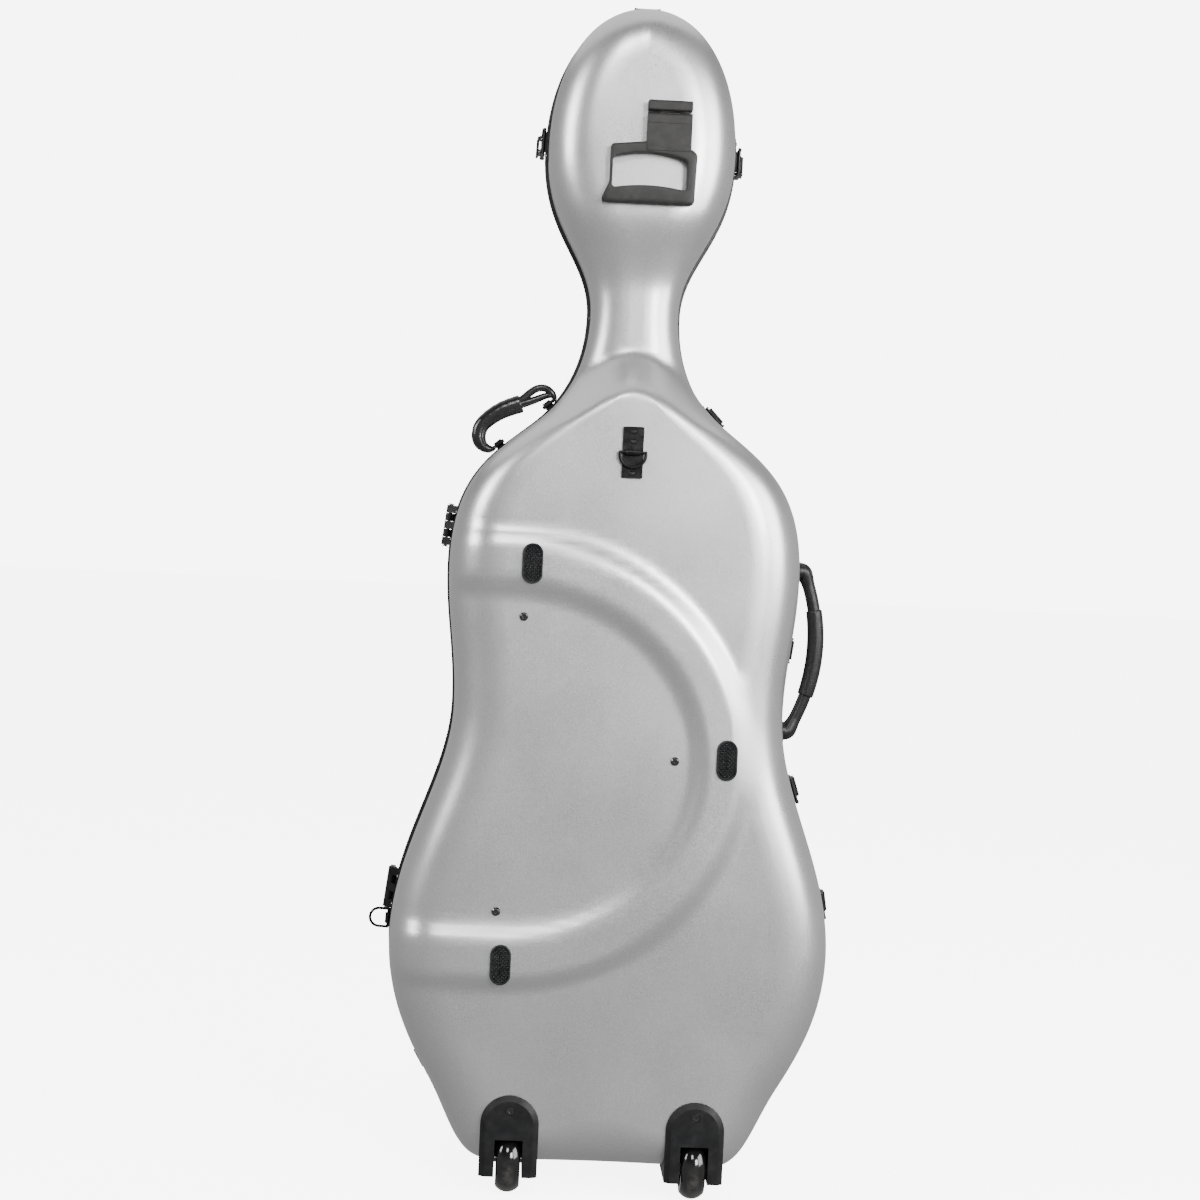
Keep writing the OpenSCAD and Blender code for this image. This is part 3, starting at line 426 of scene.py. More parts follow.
@dataclass(frozen=True)
class Webbing:
    """Woven strap with a fine diagonal weave."""

    name: str = "webbing"
    pitch: float = 0.0016

    def material(self) -> Material:
        """Builds the finish."""
        graph = Graph(self.name)
        turn = 2.0 * math.pi / self.pitch
        warp = ((graph.axis("X") + graph.axis("Z")) * turn).sine()
        weft = ((graph.axis("X") - graph.axis("Z")) * turn).sine()
        weave = (warp * weft).ramp(-1.0, 1.0)
        base = graph.blend(weave, (0.006, 0.006, 0.006), (0.03, 0.03, 0.032))
        return graph.finish(Base_Color=base, Roughness=0.85, Normal=graph.bump(weave, 0.0002))


# Mesh building


def added(name: str, data: bpy.types.ID) -> bpy.types.Object:
    """Makes an object of some data and links it to the scene."""
    made = bpy.data.objects.new(name, data)
    bpy.context.scene.collection.objects.link(made)
    return made


def make_piece(
    name: str,
    skin: Skin,
    material: Material,
    body: str,
    sharp: float = 38.0,
    stands_for: tuple[str, ...] = (),
) -> bpy.types.Object:
    """Makes a mesh object from points and faces and lets it ride on a body.

    Args:
        name: the piece's name.
        skin: points in millimetres, one a row, and faces of three or more point numbers.
        material: the finish.
        body: the body that carries it.
        sharp: edges that turn by more degrees stay sharp.
        stands_for: CAD nodes that it replaces.

    Returns:
        The object.
    """
    points, faces = skin
    mesh = bpy.data.meshes.new(name)
    mesh.from_pydata((np.asarray(points, float) * MM).tolist(), [], [list(map(int, f)) for f in faces])
    mesh.validate()
    mesh.polygons.foreach_set("use_smooth", [True] * len(mesh.polygons))
    mesh.set_sharp_from_angle(angle=math.radians(sharp))
    mesh.materials.append(material)
    piece = added(name, mesh)
    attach(piece, body)
    if stands_for:
        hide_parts(*stands_for)
    log.info("%s: %d faces on %s", name, len(mesh.polygons), body)
    return piece


def placed(x: Any, y: Any, z: Any) -> Array:
    """Points at x, y and a height over the shell's lower end, spread to one shape."""
    return np.stack(np.broadcast_arrays(x, y, z + LIFT), axis=-1)


def stacked(rows: Iterable[tuple[Array, float]]) -> Array:
    """Rings of (u, v, height) from outlines and their heights."""
    return np.stack([np.column_stack([ring, np.full(len(ring), height)]) for ring, height in rows])


def unit(rows: Array) -> Array:
    """Scales every row to length 1."""
    return rows / np.linalg.norm(rows, axis=1, keepdims=True)


def run_along(line: Array) -> Array:
    """The distance of every point from the first, along the line."""
    return np.concatenate([[0.0], np.cumsum(np.linalg.norm(np.diff(line, axis=0), axis=1))])


def full_turn(count: int) -> Array:
    """Even angles of a full turn, in radians."""
    return np.linspace(0.0, 2.0 * np.pi, count, endpoint=False)


def grid_faces(rows: int, columns: int, wrap_rows: bool = False) -> Array:
    """Quads between the rings of a grid whose columns close on themselves.

    Args:
        rows: number of rings.
        columns: points in a ring.
        wrap_rows: join the last ring to the first.

    Returns:
        Point numbers, four a row.
    """
    r, c = np.meshgrid(np.arange(rows if wrap_rows else rows - 1), np.arange(columns), indexing="ij")
    r2, c2 = (r + 1) % rows, (c + 1) % columns
    quads = np.stack([r * columns + c, r * columns + c2, r2 * columns + c2, r2 * columns + c], axis=-1)
    return quads.reshape(-1, 4)


def outward(points: Array, faces: list) -> Skin:
    """Turns all faces over if the closed skin encloses a negative volume."""
    points = np.asarray(points, float)
    fans = [(f[0], f[k], f[k + 1]) for f in faces for k in range(1, len(f) - 1)]
    a, b, c = (points[list(corner)] for corner in zip(*fans))
    if np.sum(a * np.cross(b, c)) < 0:
        faces = [list(f)[::-1] for f in faces]
    return points, faces


def loft(rings: Array, wrap: bool = False) -> Skin:
    """A skin over closed rings; without wrap each end is closed by one face.

    Args:
        rings: rings by columns by three.
        wrap: join the last ring to the first.

    Returns:
        Points and faces, facing outward.
    """
    rows, columns = rings.shape[:2]
    faces = grid_faces(rows, columns, wrap).tolist()
    if not wrap:
        faces += [list(range(columns)), list(range(rows * columns - 1, (rows - 1) * columns - 1, -1))]
    return outward(rings.reshape(-1, 3), faces)


def joined(skins: Iterable[Skin]) -> Skin:
    """Puts several skins into one."""
    points, faces, start = [], [], 0
    for own_points, own_faces in skins:
        points.append(own_points)
        faces += [[number + start for number in face] for face in own_faces]
        start += len(own_points)
    return np.vstack(points), faces


def rounded_corners(corners: list[Pair], radius: float, steps: int = 6) -> Array:
    """A closed outline with each corner cut back and bent: a quadratic curve between the cuts.

    Args:
        corners: corner points in order.
        radius: how far each corner is cut back, limited by half its sides.
        steps: points on each bend.

    Returns:
        Points, one a row.
    """
    c = np.array(corners, float)
    before, after = np.roll(c, 1, axis=0) - c, np.roll(c, -1, axis=0) - c
    cut = [unit(d) * np.minimum(radius, 0.49 * np.linalg.norm(d, axis=1, keepdims=True))
           for d in (before, after)]
    t = np.linspace(0.0, 1.0, steps)[None, :, None]
    bend = (1 - t) ** 2 * (c + cut[0])[:, None] + 2 * t * (1 - t) * c[:, None] + t**2 * (c + cut[1])[:, None]
    return bend.reshape(-1, 2)


def rounded_box(half_u: float, half_v: float, radius: float, steps: int = 8) -> Array:
    """The outline of a rectangle with round corners, about its middle."""
    corners = [(-half_u, -half_v), (half_u, -half_v), (half_u, half_v), (-half_u, half_v)]
    turn = np.linspace(0.0, 0.5 * np.pi, steps)
    parts = []
    for k, (u, v) in enumerate(corners):
        angle = turn + np.pi + 0.5 * np.pi * k
        centre = np.array([u - math.copysign(radius, u), v - math.copysign(radius, v)])
        parts.append(centre + radius * np.stack([np.cos(angle), np.sin(angle)], axis=1))
    return np.vstack(parts)


def evenly(curve: Array, count: int) -> Array:
    """The same closed curve with points at even distances.

    Args:
        curve: points of a closed curve.
        count: number of points wanted.

    Returns:
        The new points.
    """
    closed = np.vstack([curve, curve[:1]])
    run = run_along(closed)
    at = np.linspace(0.0, run[-1], count, endpoint=False)
    return np.stack([np.interp(at, run, closed[:, k]) for k in range(curve.shape[1])], axis=1)


def inset(curve: Array, distance: float) -> Array:
    """Moves a closed outline inward along its normals; its points run anticlockwise."""
    tangent = unit(np.roll(curve, -1, axis=0) - np.roll(curve, 1, axis=0))
    return curve + distance * np.stack([-tangent[:, 1], tangent[:, 0]], axis=1)


def rounded_prism(outline: Array, low: float, high: float, radius: float, steps: int = 5) -> Array:
    """Rings of a prism with rounded edges: each edge is a quarter circle of insets.

    Args:
        outline: closed outline, anticlockwise.
        low: height of one end.
        high: height of the other.
        radius: radius of the edges.
        steps: rings over each edge.

    Returns:
        Rings by columns by (u, v, height).
    """
    turn = np.linspace(0.0, 0.5 * np.pi, steps)
    shrink = np.concatenate([radius * (1 - np.sin(turn)), radius * (1 - np.cos(turn))])
    height = np.concatenate([low + radius * (1 - np.cos(turn)), high - radius * (1 - np.sin(turn))])
    return stacked((inset(outline, s), h) for s, h in zip(shrink, height))


def along_y(rings: Array) -> Array:
    """Lays rings of (x, z, y) into the frame."""
    return rings[..., [0, 2, 1]]


def bent(path: Array, rounds: int = 3) -> Array:
    """Cuts the corners of an open path several times, keeping its ends."""
    for _ in range(rounds):
        low = 0.75 * path[:-1] + 0.25 * path[1:]
        high = 0.25 * path[:-1] + 0.75 * path[1:]
        middle = np.stack([low, high], axis=1).reshape(-1, path.shape[1])
        path = np.vstack([path[:1], middle, path[-1:]])
    return path


def swept(path: Array, section: Array) -> Skin:
    """A tube along a path whose plane is upright.

    Each ring is centre + u * across + v * Y, with across square to the path in X and Z.

    Args:
        path: centre line in X, Y and Z, one point a row.
        section: rings of (u, v), one for each point of the path.

    Returns:
        Points and faces.
    """
    tangent = unit(np.gradient(path[:, [0, 2]], axis=0))
    across = np.stack([tangent[:, 1], np.zeros(len(path)), -tangent[:, 0]], axis=1)
    rings = path[:, None] + section[..., :1] * across[:, None]
    rings = rings + section[..., 1:] * np.array([0.0, 1.0, 0.0])
    return loft(rings)


def round_section(radius_u: Array, radius_v: Array, sides: int = 40) -> Array:
    """Oval rings of given half widths."""
    turn = full_turn(sides)
    return np.stack([radius_u[:, None] * np.cos(turn), radius_v[:, None] * np.sin(turn)], axis=-1)


def smooth(low: float, high: float, value: Array) -> Array:
    """Eases from 0 at low to 1 at high."""
    k = np.clip((value - low) / (high - low), 0.0, 1.0)
    return k * k * (3 - 2 * k)


def mix(first: Any, second: Any, share: Any) -> Any:
    """Returns the value between two at a share."""
    return first + (second - first) * share


# The moulded form


@dataclass
class CaseForm:
    """Sizes of the moulded shells in millimetres, and the surfaces that follow from them."""

    shell_h: float = 1312.0
    bottom_half_w: float = 128.0
    lower_half_w: float = 249.0
    lower_z: float = 245.0
    waist_half_w: float = 187.0
    waist_z: float = 512.0
    upper_half_w: float = 199.0
    upper_z: float = 670.0
    neck_half_w: float = 50.0
    neck_z: float = 965.0
    head_half_w: float = 107.0
    head_z: float = 1150.0
    back_depths: Triple = (140.0, 80.0, 104.0)
    lid_depths: Triple = (118.0, 68.0, 88.0)
    lid_bridge_d: float = 26.0
    bands: Pair = (60.0, 30.0)
    edge_round: float = 62.0
    wall: float = 3.0
    lining_at: float = 3.3
    lining_t: float = 10.0
    relief_h: float = 9.0
    relief_at: Pair = (-124.0, 457.0)
    relief_outer: Pair = (277.0, 260.0)
    relief_inner: Pair = (201.0, 180.0)
    relief_slope: float = 24.0
    round_power: float = 2.5
    spine_low: float = 112.0
    spine_high: float = 82.0
    bottom_blend: float = 260.0
    bridge_z: float = 430.0
    step_lead: float = 20.0
    step_drop: float = 22.0
    back_arc: Pair = (0.0115, 75.0)
    lid_arc: Pair = (0.012, 50.0)
    back_fall: Pair = (80.0, 60.0)
    lid_fall: Pair = (95.0, 75.0)
    head_rise: Pair = (20.0, 95.0)
    bulge: Pair = (190.0, 330.0)
    bulge_edge: float = 1.15
    steps: tuple[int, ...] = (22, 24, 22, 34, 20, 30, 26, 28, 34)

    def curves(self) -> list[list[Pair]]:
        """Control points of the right half of the outline, from the bottom to the top."""
        lw, lz, ww, wz = self.lower_half_w, self.lower_z, self.waist_half_w, self.waist_z
        uw, uz, nw, nz = self.upper_half_w, self.upper_z, self.neck_half_w, self.neck_z
        hw, hz, bw, top = self.head_half_w, self.head_z, self.bottom_half_w, self.shell_h
        return [
            [(0, 0), (bw / 3, 0), (bw * 2 / 3, 0), (bw, 0)],
            [(bw, 0), (bw + 37, 0), (lw - 77, lz - 200), (lw - 49, lz - 153)],
            [(lw - 49, lz - 153), (lw - 20.4, lz - 105), (lw, lz - 60), (lw, lz)],
            [(lw, lz), (lw, lz + 100), (ww, wz - 87), (ww, wz)],
            [(ww, wz), (ww, wz + 63), (uw, uz - 60), (uw, uz)],
            [(uw, uz), (uw, uz + 105), (nw + 100, nz - 165), (nw + 57, nz - 129)],
            [(nw + 57, nz - 129), (nw + 25, nz - 102), (nw, nz - 60), (nw, nz)],
            [(nw, nz), (nw, nz + 67), (hw, hz - 94), (hw, hz)],
            [(hw, hz), (hw, hz + 91), (hw - 40, top), (0, top)],
        ]

    def outline(self) -> tuple[Array, Array]:
        """The whole closed outline.

        Each curve is a cubic over a parameter from 0 to 1; its normal is the tangent turned
        a quarter turn outward. The left half mirrors the right.

        Returns:
            Points and outward normals in X and Z, one a row.
        """
        points, normals = [], []
        for control, count in zip(self.curves(), self.steps):
            c = np.array(control, float)
            t = (np.arange(count) / count)[:, None]
            u = 1.0 - t
            points.append(u**3 * c[0] + 3 * u * u * t * c[1] + 3 * u * t * t * c[2] + t**3 * c[3])
            tangent = u * u * (c[1] - c[0]) + 2 * u * t * (c[2] - c[1]) + t * t * (c[3] - c[2])
            normals.append(np.stack([tangent[:, 1], -tangent[:, 0]], axis=1))
        right = np.vstack([*points, [[0.0, self.shell_h]]])
        out = unit(np.vstack([*normals, [[0.0, 1.0]]]))
        flip = np.array([-1.0, 1.0])
        return np.vstack([right, right[-2:0:-1] * flip]), np.vstack([out, out[-2:0:-1] * flip])

    def depth(self, side: Side, x: Array, z: Array, inside: bool) -> Array:
        """Depth of a shell's face at a place.

        The body's depth steps down to the neck's along an arc and up again to the head's;
        the back adds the crescent, the lid a bulge over the bridge. Each step is given by
        how far from the neck it starts and by its length.

        Args:
            side: back or lid.
            x: places across.
            z: places up.
            inside: whether it is an inner face.

        Returns:
            Depths in millimetres.
        """
        lead = self.step_lead if inside else 0.0
        if side is Side.BACK:
            body, neck, head = self.back_depths
            full = body + (0.0 if inside else self.relief(x, z))
            bend, flat_at = self.back_arc
            arc = z + bend * x**2 / (1 + (x / flat_at) ** 2)
            below, length = self.back_fall
            foot = self.neck_z - below - self.step_drop - lead
        else:
            body, neck, head = self.lid_depths
            reach = np.hypot(x / self.bulge[0], (z - self.bridge_z) / self.bulge[1])
            full = body + self.lid_bridge_d * smooth(0.0, 1.0, self.bulge_edge - reach)
            bend, flat_at = self.lid_arc
            arc = z + bend * np.clip(x, -flat_at, flat_at) ** 2
            below, length = self.lid_fall
            foot = self.neck_z - below - lead
        down = smooth(foot, foot + length, arc)
        above, length = self.head_rise
        up = smooth(self.neck_z + above + lead, self.neck_z + above + length + lead, z)
        return mix(mix(full, neck, down), head, up)

    def relief(self, x: Array, z: Array) -> Array:
        """Height of the crescent band: inside the outer oval, outside the inner one."""
        dx = np.maximum(0.0, x - self.relief_at[0])
        dz = z - self.relief_at[1]
        outer = np.hypot(dx / self.relief_outer[0], dz / self.relief_outer[1])
        inner = np.hypot(dx / self.relief_inner[0], dz / self.relief_inner[1])
        rise = 1.0 - smooth(1.0 - self.relief_slope / self.relief_outer[0], 1.0, outer)
        return self.relief_h * rise * smooth(1.0, 1.0 + self.relief_slope / self.relief_inner[0], inner)

    def lid_lining(self, z: float, seat: float, x: float = 62.0) -> float:
        """Depth of the lid lining's inner face at a place, less a seat."""
        deep = self.depth(Side.LID, np.array([x]), np.array([z]), True)
        return float(deep[0]) - 2 * self.lining_at - self.lining_t + self.wall - seat

    def spine(self, points: Array) -> Array:
        """Places on the middle line that the outline's points are drawn to."""
        x, z = np.abs(points[:, 0]), points[:, 1]
        low = z / self.bottom_blend
        bottom = self.spine_low + 0.15 * x * (1 - low) + (self.bottom_blend - self.spine_low) * low
        high = (z - self.head_z) / (self.shell_h - self.head_z)
        rise = (self.shell_h - self.spine_high - self.head_z) * high
        top = self.head_z + rise + 0.15 * (self.head_half_w - x) * high
        up = np.where(z < self.bottom_blend, bottom, np.where(z > self.head_z, top, z))
        return np.stack([np.zeros_like(up), up], axis=1)

    def surface(self, side: Side, inset: float, rim_y: float, rounding: int, face: int) -> Array:
        """One surface of a shell as a grid: rim, straight band, rounded edge, face, spine.

        Along each ray from the outline to the spine the depth follows a squared-off quarter
        oval over the rounding and the depth function over the face.

        Args:
            side: back or lid.
            inset: distance inside the outer surface.
            rim_y: where the surface starts, from the parting line.
            rounding: steps over the rounded edge.
            face: steps over the face.

        Returns:
            Points as rings by columns by three.
        """
        outline, normal = self.outline()
        start = outline - normal * inset
        target = self.spine(outline)
        length = np.linalg.norm(target - start, axis=1)
        width = np.minimum(self.edge_round - inset, 0.85 * length)
        band = mix(self.bands[0], self.bands[1], smooth(self.neck_z - 145, self.neck_z - 60, outline[:, 1]))
        turn = np.linspace(0.0, 90.0, rounding + 1)[1:] * math.pi / 180.0
        share = np.linspace(0.0, 1.0, face + 1)[1:]
        zero = np.zeros((2, len(outline)))
        edge = (1 - np.abs(np.cos(turn)) ** (2 / self.round_power))[:, None] * width
        flat = width + (length - width) * share[:, None]
        along = np.vstack([zero, edge, flat])
        ray = ((target - start) / length[:, None])[None]
        place = start[None] + ray * along[:, :, None]
        deep = self.depth(side, place[..., 0], place[..., 1], inset > 0) - inset
        rise = (np.sin(turn) ** (2 / self.round_power))[:, None]
        back = np.vstack(
            [np.full((1, len(outline)), rim_y), band[None], band + (deep[2 : 2 + rounding] - band) * rise,
             deep[2 + rounding :]]
        )
        return placed(place[..., 0], side.value * back, place[..., 1])


@dataclass
class WheelWell:
    """The outline of the wheel housings, where shells and lining are open."""

    wheel_x: float = 103.0
    width: float = 65.0
    height: float = 90.0
    under: float = 5.0
    inner_y: float = -74.0

    def holds(self, points: Array, margin: float) -> Array:
        """Tells which points lie inside a housing, by a margin.

        The outline is a square bottom, which starts under the shell, and a half round top.

        Args:
            points: places in millimetres.
            margin: how far inside the outline.

        Returns:
            One truth a point.
        """
        x = np.abs(points[..., 0]) - self.wheel_x
        z = points[..., 2] - LIFT
        top = self.height - self.under - self.width / 2
        radius = self.width / 2 - margin
        across = (np.abs(x) < radius) & (z < top)
        rounded = np.hypot(x, z - top) < radius
        return (across | rounded) & (points[..., 1] < self.inner_y - margin)


@dataclass
class Shells:
    """Both moulded shells and the lining inside them."""

    form: CaseForm = field(default_factory=CaseForm)
    well: WheelWell = field(default_factory=WheelWell)
    rounding: int = 14
    face: int = 38
    lining_rings: tuple[int, int] = (8, 14)
    back_rim: float = 3.0
    lid_rim: float = 3.3
    rim_gap: float = 0.3
    well_margin: float = 6.0

    def wall(self, side: Side, inset: float, thickness: float, rim_y: float, rings: tuple[int, int],
             open_wells: bool) -> Skin:
        """A wall between two surfaces that share one grid.

        The inner surface has the same grid as the outer one, so every free edge of the outer
        one, at the rim and round the wheel wells, is joined to the same edge inside.

        Args:
            side: back or lid.
            inset: inset of the outer surface.
            thickness: thickness of the wall.
            rim_y: where the wall starts.
            rings: steps over the rounding and over the face.
            open_wells: whether the wheel wells are cut out.

        Returns:
            Points and faces.
        """
        outer = self.form.surface(side, inset, rim_y, *rings)
        inner = self.form.surface(side, inset + thickness, rim_y, *rings)
        rows, columns = outer.shape[:2]
        count = rows * columns
        number = np.arange(count).reshape(rows, columns)
        half = columns // 2
        number[-1, half + 1 :] = number[-1, half - 1 : 0 : -1]
        nxt = np.roll(number, -1, axis=1)
        quads = np.stack([number[:-1], nxt[:-1], nxt[1:], number[1:]], axis=-1).reshape(-1, 4)
        if side is Side.LID:
            quads = quads[:, ::-1]
        if open_wells:
            middle = outer.reshape(-1, 3)[quads].mean(axis=1)
            quads = quads[~self.well.holds(middle, self.well_margin)]
        edges = np.stack([quads, np.roll(quads, -1, axis=1)], axis=-1).reshape(-1, 2)
        key = np.sort(edges, axis=1)
        _, first, times = np.unique(key, axis=0, return_index=True, return_counts=True)
        free = edges[first[times == 1]]
        free = free[free[:, 0] != free[:, 1]]
        walls = np.stack([free[:, 1], free[:, 0], free[:, 0] + count, free[:, 1] + count], axis=-1)
        points = np.vstack([outer.reshape(-1, 3), inner.reshape(-1, 3)])
        return points, np.vstack([quads, quads[:, ::-1] + count, walls])

    def build(self) -> None:
        """Makes the four walls."""
        shell, plush = SatinShell().material(), Plush().material()
        for side, body in ((Side.BACK, "back"), (Side.LID, "lid")):
            is_back = side is Side.BACK
            rim = self.back_rim if is_back else self.lid_rim
            skin = self.wall(side, 0.0, self.form.wall, rim, (self.rounding, self.face), is_back)
            make_piece(f"{body}_moulding", skin, shell, body, 50.0, (f"{body}_shell",))
            lining_at, lining_t = self.form.lining_at, self.form.lining_t
            skin = self.wall(side, lining_at, lining_t, rim + self.rim_gap, self.lining_rings, is_back)
            lining = make_piece(f"{body}_lining", skin, plush, body, 50.0, (f"{body}_liner",))


@dataclass
class RimBead:
    """The black bead on each rim: a flat strip with a rounded outer edge."""

    form: CaseForm = field(default_factory=CaseForm)
    out: float = 4.2
    inward: float = 8.0
    height: float = 3.0
    gap: float = 0.3

    def ring(self, low: float) -> Skin:
        """One bead: a closed profile carried round the outline along its normals.

        Args:
            low: where the bead starts, along Y.

        Returns:
            Points and faces.
        """
        outline, normal = self.form.outline()
        turn = np.linspace(-90.0, 90.0, 9) * math.pi / 180.0
        r = self.height / 2
        offset = np.concatenate([[-self.inward], self.out - r + r * np.cos(turn), [-self.inward]])
        across = np.concatenate([[0.0], r + r * np.sin(turn), [self.height]]) + low
        place = outline[None] + normal[None] * offset[:, None, None]
        return loft(placed(place[..., 0], across[:, None], place[..., 1]), True)

    def build(self) -> None:
        """Makes both beads."""
        rubber = MouldedPlastic("rim_rubber", (0.010, 0.010, 0.010), roughness=0.45).material()
        for body, low in (("back", -self.height), ("lid", self.gap)):
            make_piece(f"{body}_bead", self.ring(low), rubber, body, 50.0, (f"{body}_rim_trim",))


@dataclass
class RimLine:
    """The rim as a line: places by the distance along it."""

    form: CaseForm = field(default_factory=CaseForm)

    def __post_init__(self) -> None:
        """Measures the line."""
        points, normals = self.form.outline()
        self.points = np.vstack([points, points[:1]])
        self.normals = np.vstack([normals, normals[:1]])
        self.run = run_along(self.points)

    def at_height(self, z: float, side: int) -> float:
        """The distance along the rim of a height on the right, +1, or left, -1."""
        half = len(self.points) // 2
        part = slice(3, half) if side > 0 else slice(len(self.points) - 4, half, -1)
        return float(np.interp(z, self.points[part, 1], self.run[part]))

    def place(self, along: Array, out: Array) -> Array:
        """Points at distances along the rim and outward from it, in X and Z."""
        x, z = (np.interp(along, self.run, self.points[:, k]) for k in (0, 1))
        dx, dz = (np.interp(along, self.run, self.normals[:, k]) for k in (0, 1))
        length = np.hypot(dx, dz)
        return np.stack([x + out * dx / length, z + out * dz / length], axis=-1)


@dataclass
class Padding:
    """The padding in the back and the bow holders in the lid."""

    rim: RimLine
    seat: float = -13.6
    pad_y: Pair = (-57.0, -8.0)
    lower_pad: Triple = (245.0, 130.0, 30.0)
    upper_pad: Triple = (670.0, 110.0, 26.0)
    neck_z: float = 965.0
    cradle_low: float = -66.2
    cradle_half: float = 33.0
    hollow_r: float = 22.0
    block_half: float = 50.0
    socket_r: float = 14.0
    bow_x: float = 62.0
    sleeve: Pair = (764.0, 1.8)
    block: Pair = (130.0, 1.1)

    def crowned(self, half_u: float, half_v: float, thick: float, corner: float) -> Array:
        """Rings of a cushion: flat under, swelling sides with a piped seam, a crowned top.

        The outline shrinks toward both middles; the height follows a quarter oval at the
        edge and a low dome over the top, and the sides pull in between the corners.

        Args:
            half_u: half length.
            half_v: half width.
            thick: height of the crown.
            corner: radius of the corners.

        Returns:
            Rings by columns by (u, v, height).
        """
        base = evenly(rounded_box(half_u, half_v, corner), 160)
        angle = np.arctan2(base[:, 1] / half_v, base[:, 0] / half_u)
        pull = 0.98 + 0.02 * np.cos(4 * (angle - math.pi / 4))
        base = base * pull[:, None]
        low = [(0.3, 0.0), (0.8, 0.0), (0.965, 0.0), (0.985, 0.04), (1.0, 0.16), (1.0, 0.34)]
        seam = [(0.992, 0.44), (0.996, 0.46), (1.008, 0.475), (1.008, 0.495), (0.996, 0.51), (0.99, 0.53)]
        turn = np.linspace(0.0, 0.5 * np.pi, 12)[1:]
        crown = [(0.99 * math.cos(t) ** 0.55 if t < 1.56 else 0.06, 0.53 + 0.47 * math.sin(t)) for t in turn]
        return stacked((base * s, thick * h) for s, h in [*low, *seam, *crown])

    def bout_pads(self) -> Skin:
        """Four cushions that follow the rim at both bouts."""
        middle, half = sum(self.pad_y) / 2, (self.pad_y[1] - self.pad_y[0]) / 2
        skins = []
        for z, width, thick in (self.lower_pad, self.upper_pad):
            for side in (-1, 1):
                rings = self.crowned(width / 2, half, thick, 11.0)
                flat = self.rim.place(self.rim.at_height(z, side) + rings[..., 0], self.seat - rings[..., 2])
                skins.append(loft(placed(flat[..., 0], middle + rings[..., 1], flat[..., 1])))
        return joined(skins)

    def end_block(self) -> Skin:
        """A foam block with a round socket for the end pin."""
        low, middle = -self.seat + LIFT, sum(self.pad_y) / 2
        shift = np.array([0.0, middle])
        box = evenly(rounded_box(self.block_half, (self.pad_y[1] - self.pad_y[0]) / 2, 9.0), 96)
        turn = np.arctan2(box[:, 1] + 1.5, box[:, 0])
        hole = np.stack([self.socket_r * np.cos(turn), self.socket_r * np.sin(turn) - 1.5], axis=1)
        sides = [(6.0, 0.0), (1.5, 0.6), (0.0, 3.0), (0.0, 13.0), (0.8, 14.0), (-0.6, 15.0), (0.8, 16.0),
                 (0.0, 17.0), (0.0, 25.0), (1.8, 28.4), (6.0, 30.0)]
        rows = [*((inset(box, cut), h) for cut, h in sides), (mix(box, hole, 0.7), 30.0),
                (hole * 1.06, 29.2), (hole, 26.0), (hole, 10.0), (hole * 0.9, 8.0)]
        return loft(stacked((ring + shift, low + h) for ring, h in rows))

    def cradle(self) -> Skin:
        """The neck's saddle: a foam block with a half round hollow."""
        deep, wide, r = self.cradle_low, self.cradle_half, self.hollow_r
        turn = np.linspace(0.0, math.pi, 25)
        hollow = [(r * math.cos(t), -20 - r * math.sin(t)) for t in turn if r * math.sin(t) > 2.0]
        shape = [*hollow, (-wide, -22), (-wide, -34), (6 - wide, deep + 9.4), (-5, deep), (5, deep),
                 (wide - 6, deep + 9.4), (wide, -34), (wide, -22)]
        outline = evenly(rounded_corners(shape, 3.0, 4), 150)
        low = self.neck_z - 20 + LIFT
        return loft(rounded_prism(outline, low, low + 40, 3.5))

    def strap(self) -> Skin:
        """The band over the cradle: webbing that sags a little between its ends."""
        half_u = self.cradle_half
        u = np.linspace(-half_u, half_u, 45)
        v = np.linspace(-10.0, 10.0, 13)
        uu, vv = np.meshgrid(u, v, indexing="ij")
        sag = -20.8 - 0.5 * np.cos(uu / half_u * np.pi / 2)
        top, low = (placed(uu, sag + half, vv + self.neck_z) for half in (0.5, -0.5))
        around = np.concatenate([top, low[:, ::-1]], axis=1)
        return loft(around)

    def bow_holders(self, lid_y: Callable[[float, float], float]) -> Skin:
        """A cloth sleeve for each tip and a padded block with a post for each button."""
        skins = []
        for x in (-self.bow_x, self.bow_x):
            y = lid_y(*self.sleeve) - 9
            z = self.sleeve[0] + LIFT
            big, small = (evenly(rounded_box(a, b, r), 72) for a, b, r in ((15, 9, 4), (12, 6, 3)))
            sides = [(4, 46.0), (1, 45.2), (0, 43.0), (0, 4.0), (-0.5, 3.0), (-0.5, 1.6), (0.4, 0.5),
                     (1.4, 0.0)]
            rows = [*((inset(big, cut), h) for cut, h in sides), (small, 0.6), (small, 42.0),
                    (inset(small, 2), 43.0)]
            skins.append(loft(stacked((ring + [x, y], z + h) for ring, h in rows)))
            base = lid_y(*self.block)
            rings = self.crowned(14.0, 16.0, 10.0, 4.0)
            skins.append(loft(placed(rings[..., 0] + x, base - rings[..., 2], rings[..., 1] + self.block[0])))
            post = evenly(rounded_box(2.5, 2.5, 2.49), 32)
            rings = rounded_prism(post, base - 17.0, base - 9.0, 0.6)
            rings[..., 0] += x
            rings[..., 1] += self.block[0] + LIFT
            skins.append(loft(along_y(rings)))
        return joined(skins)

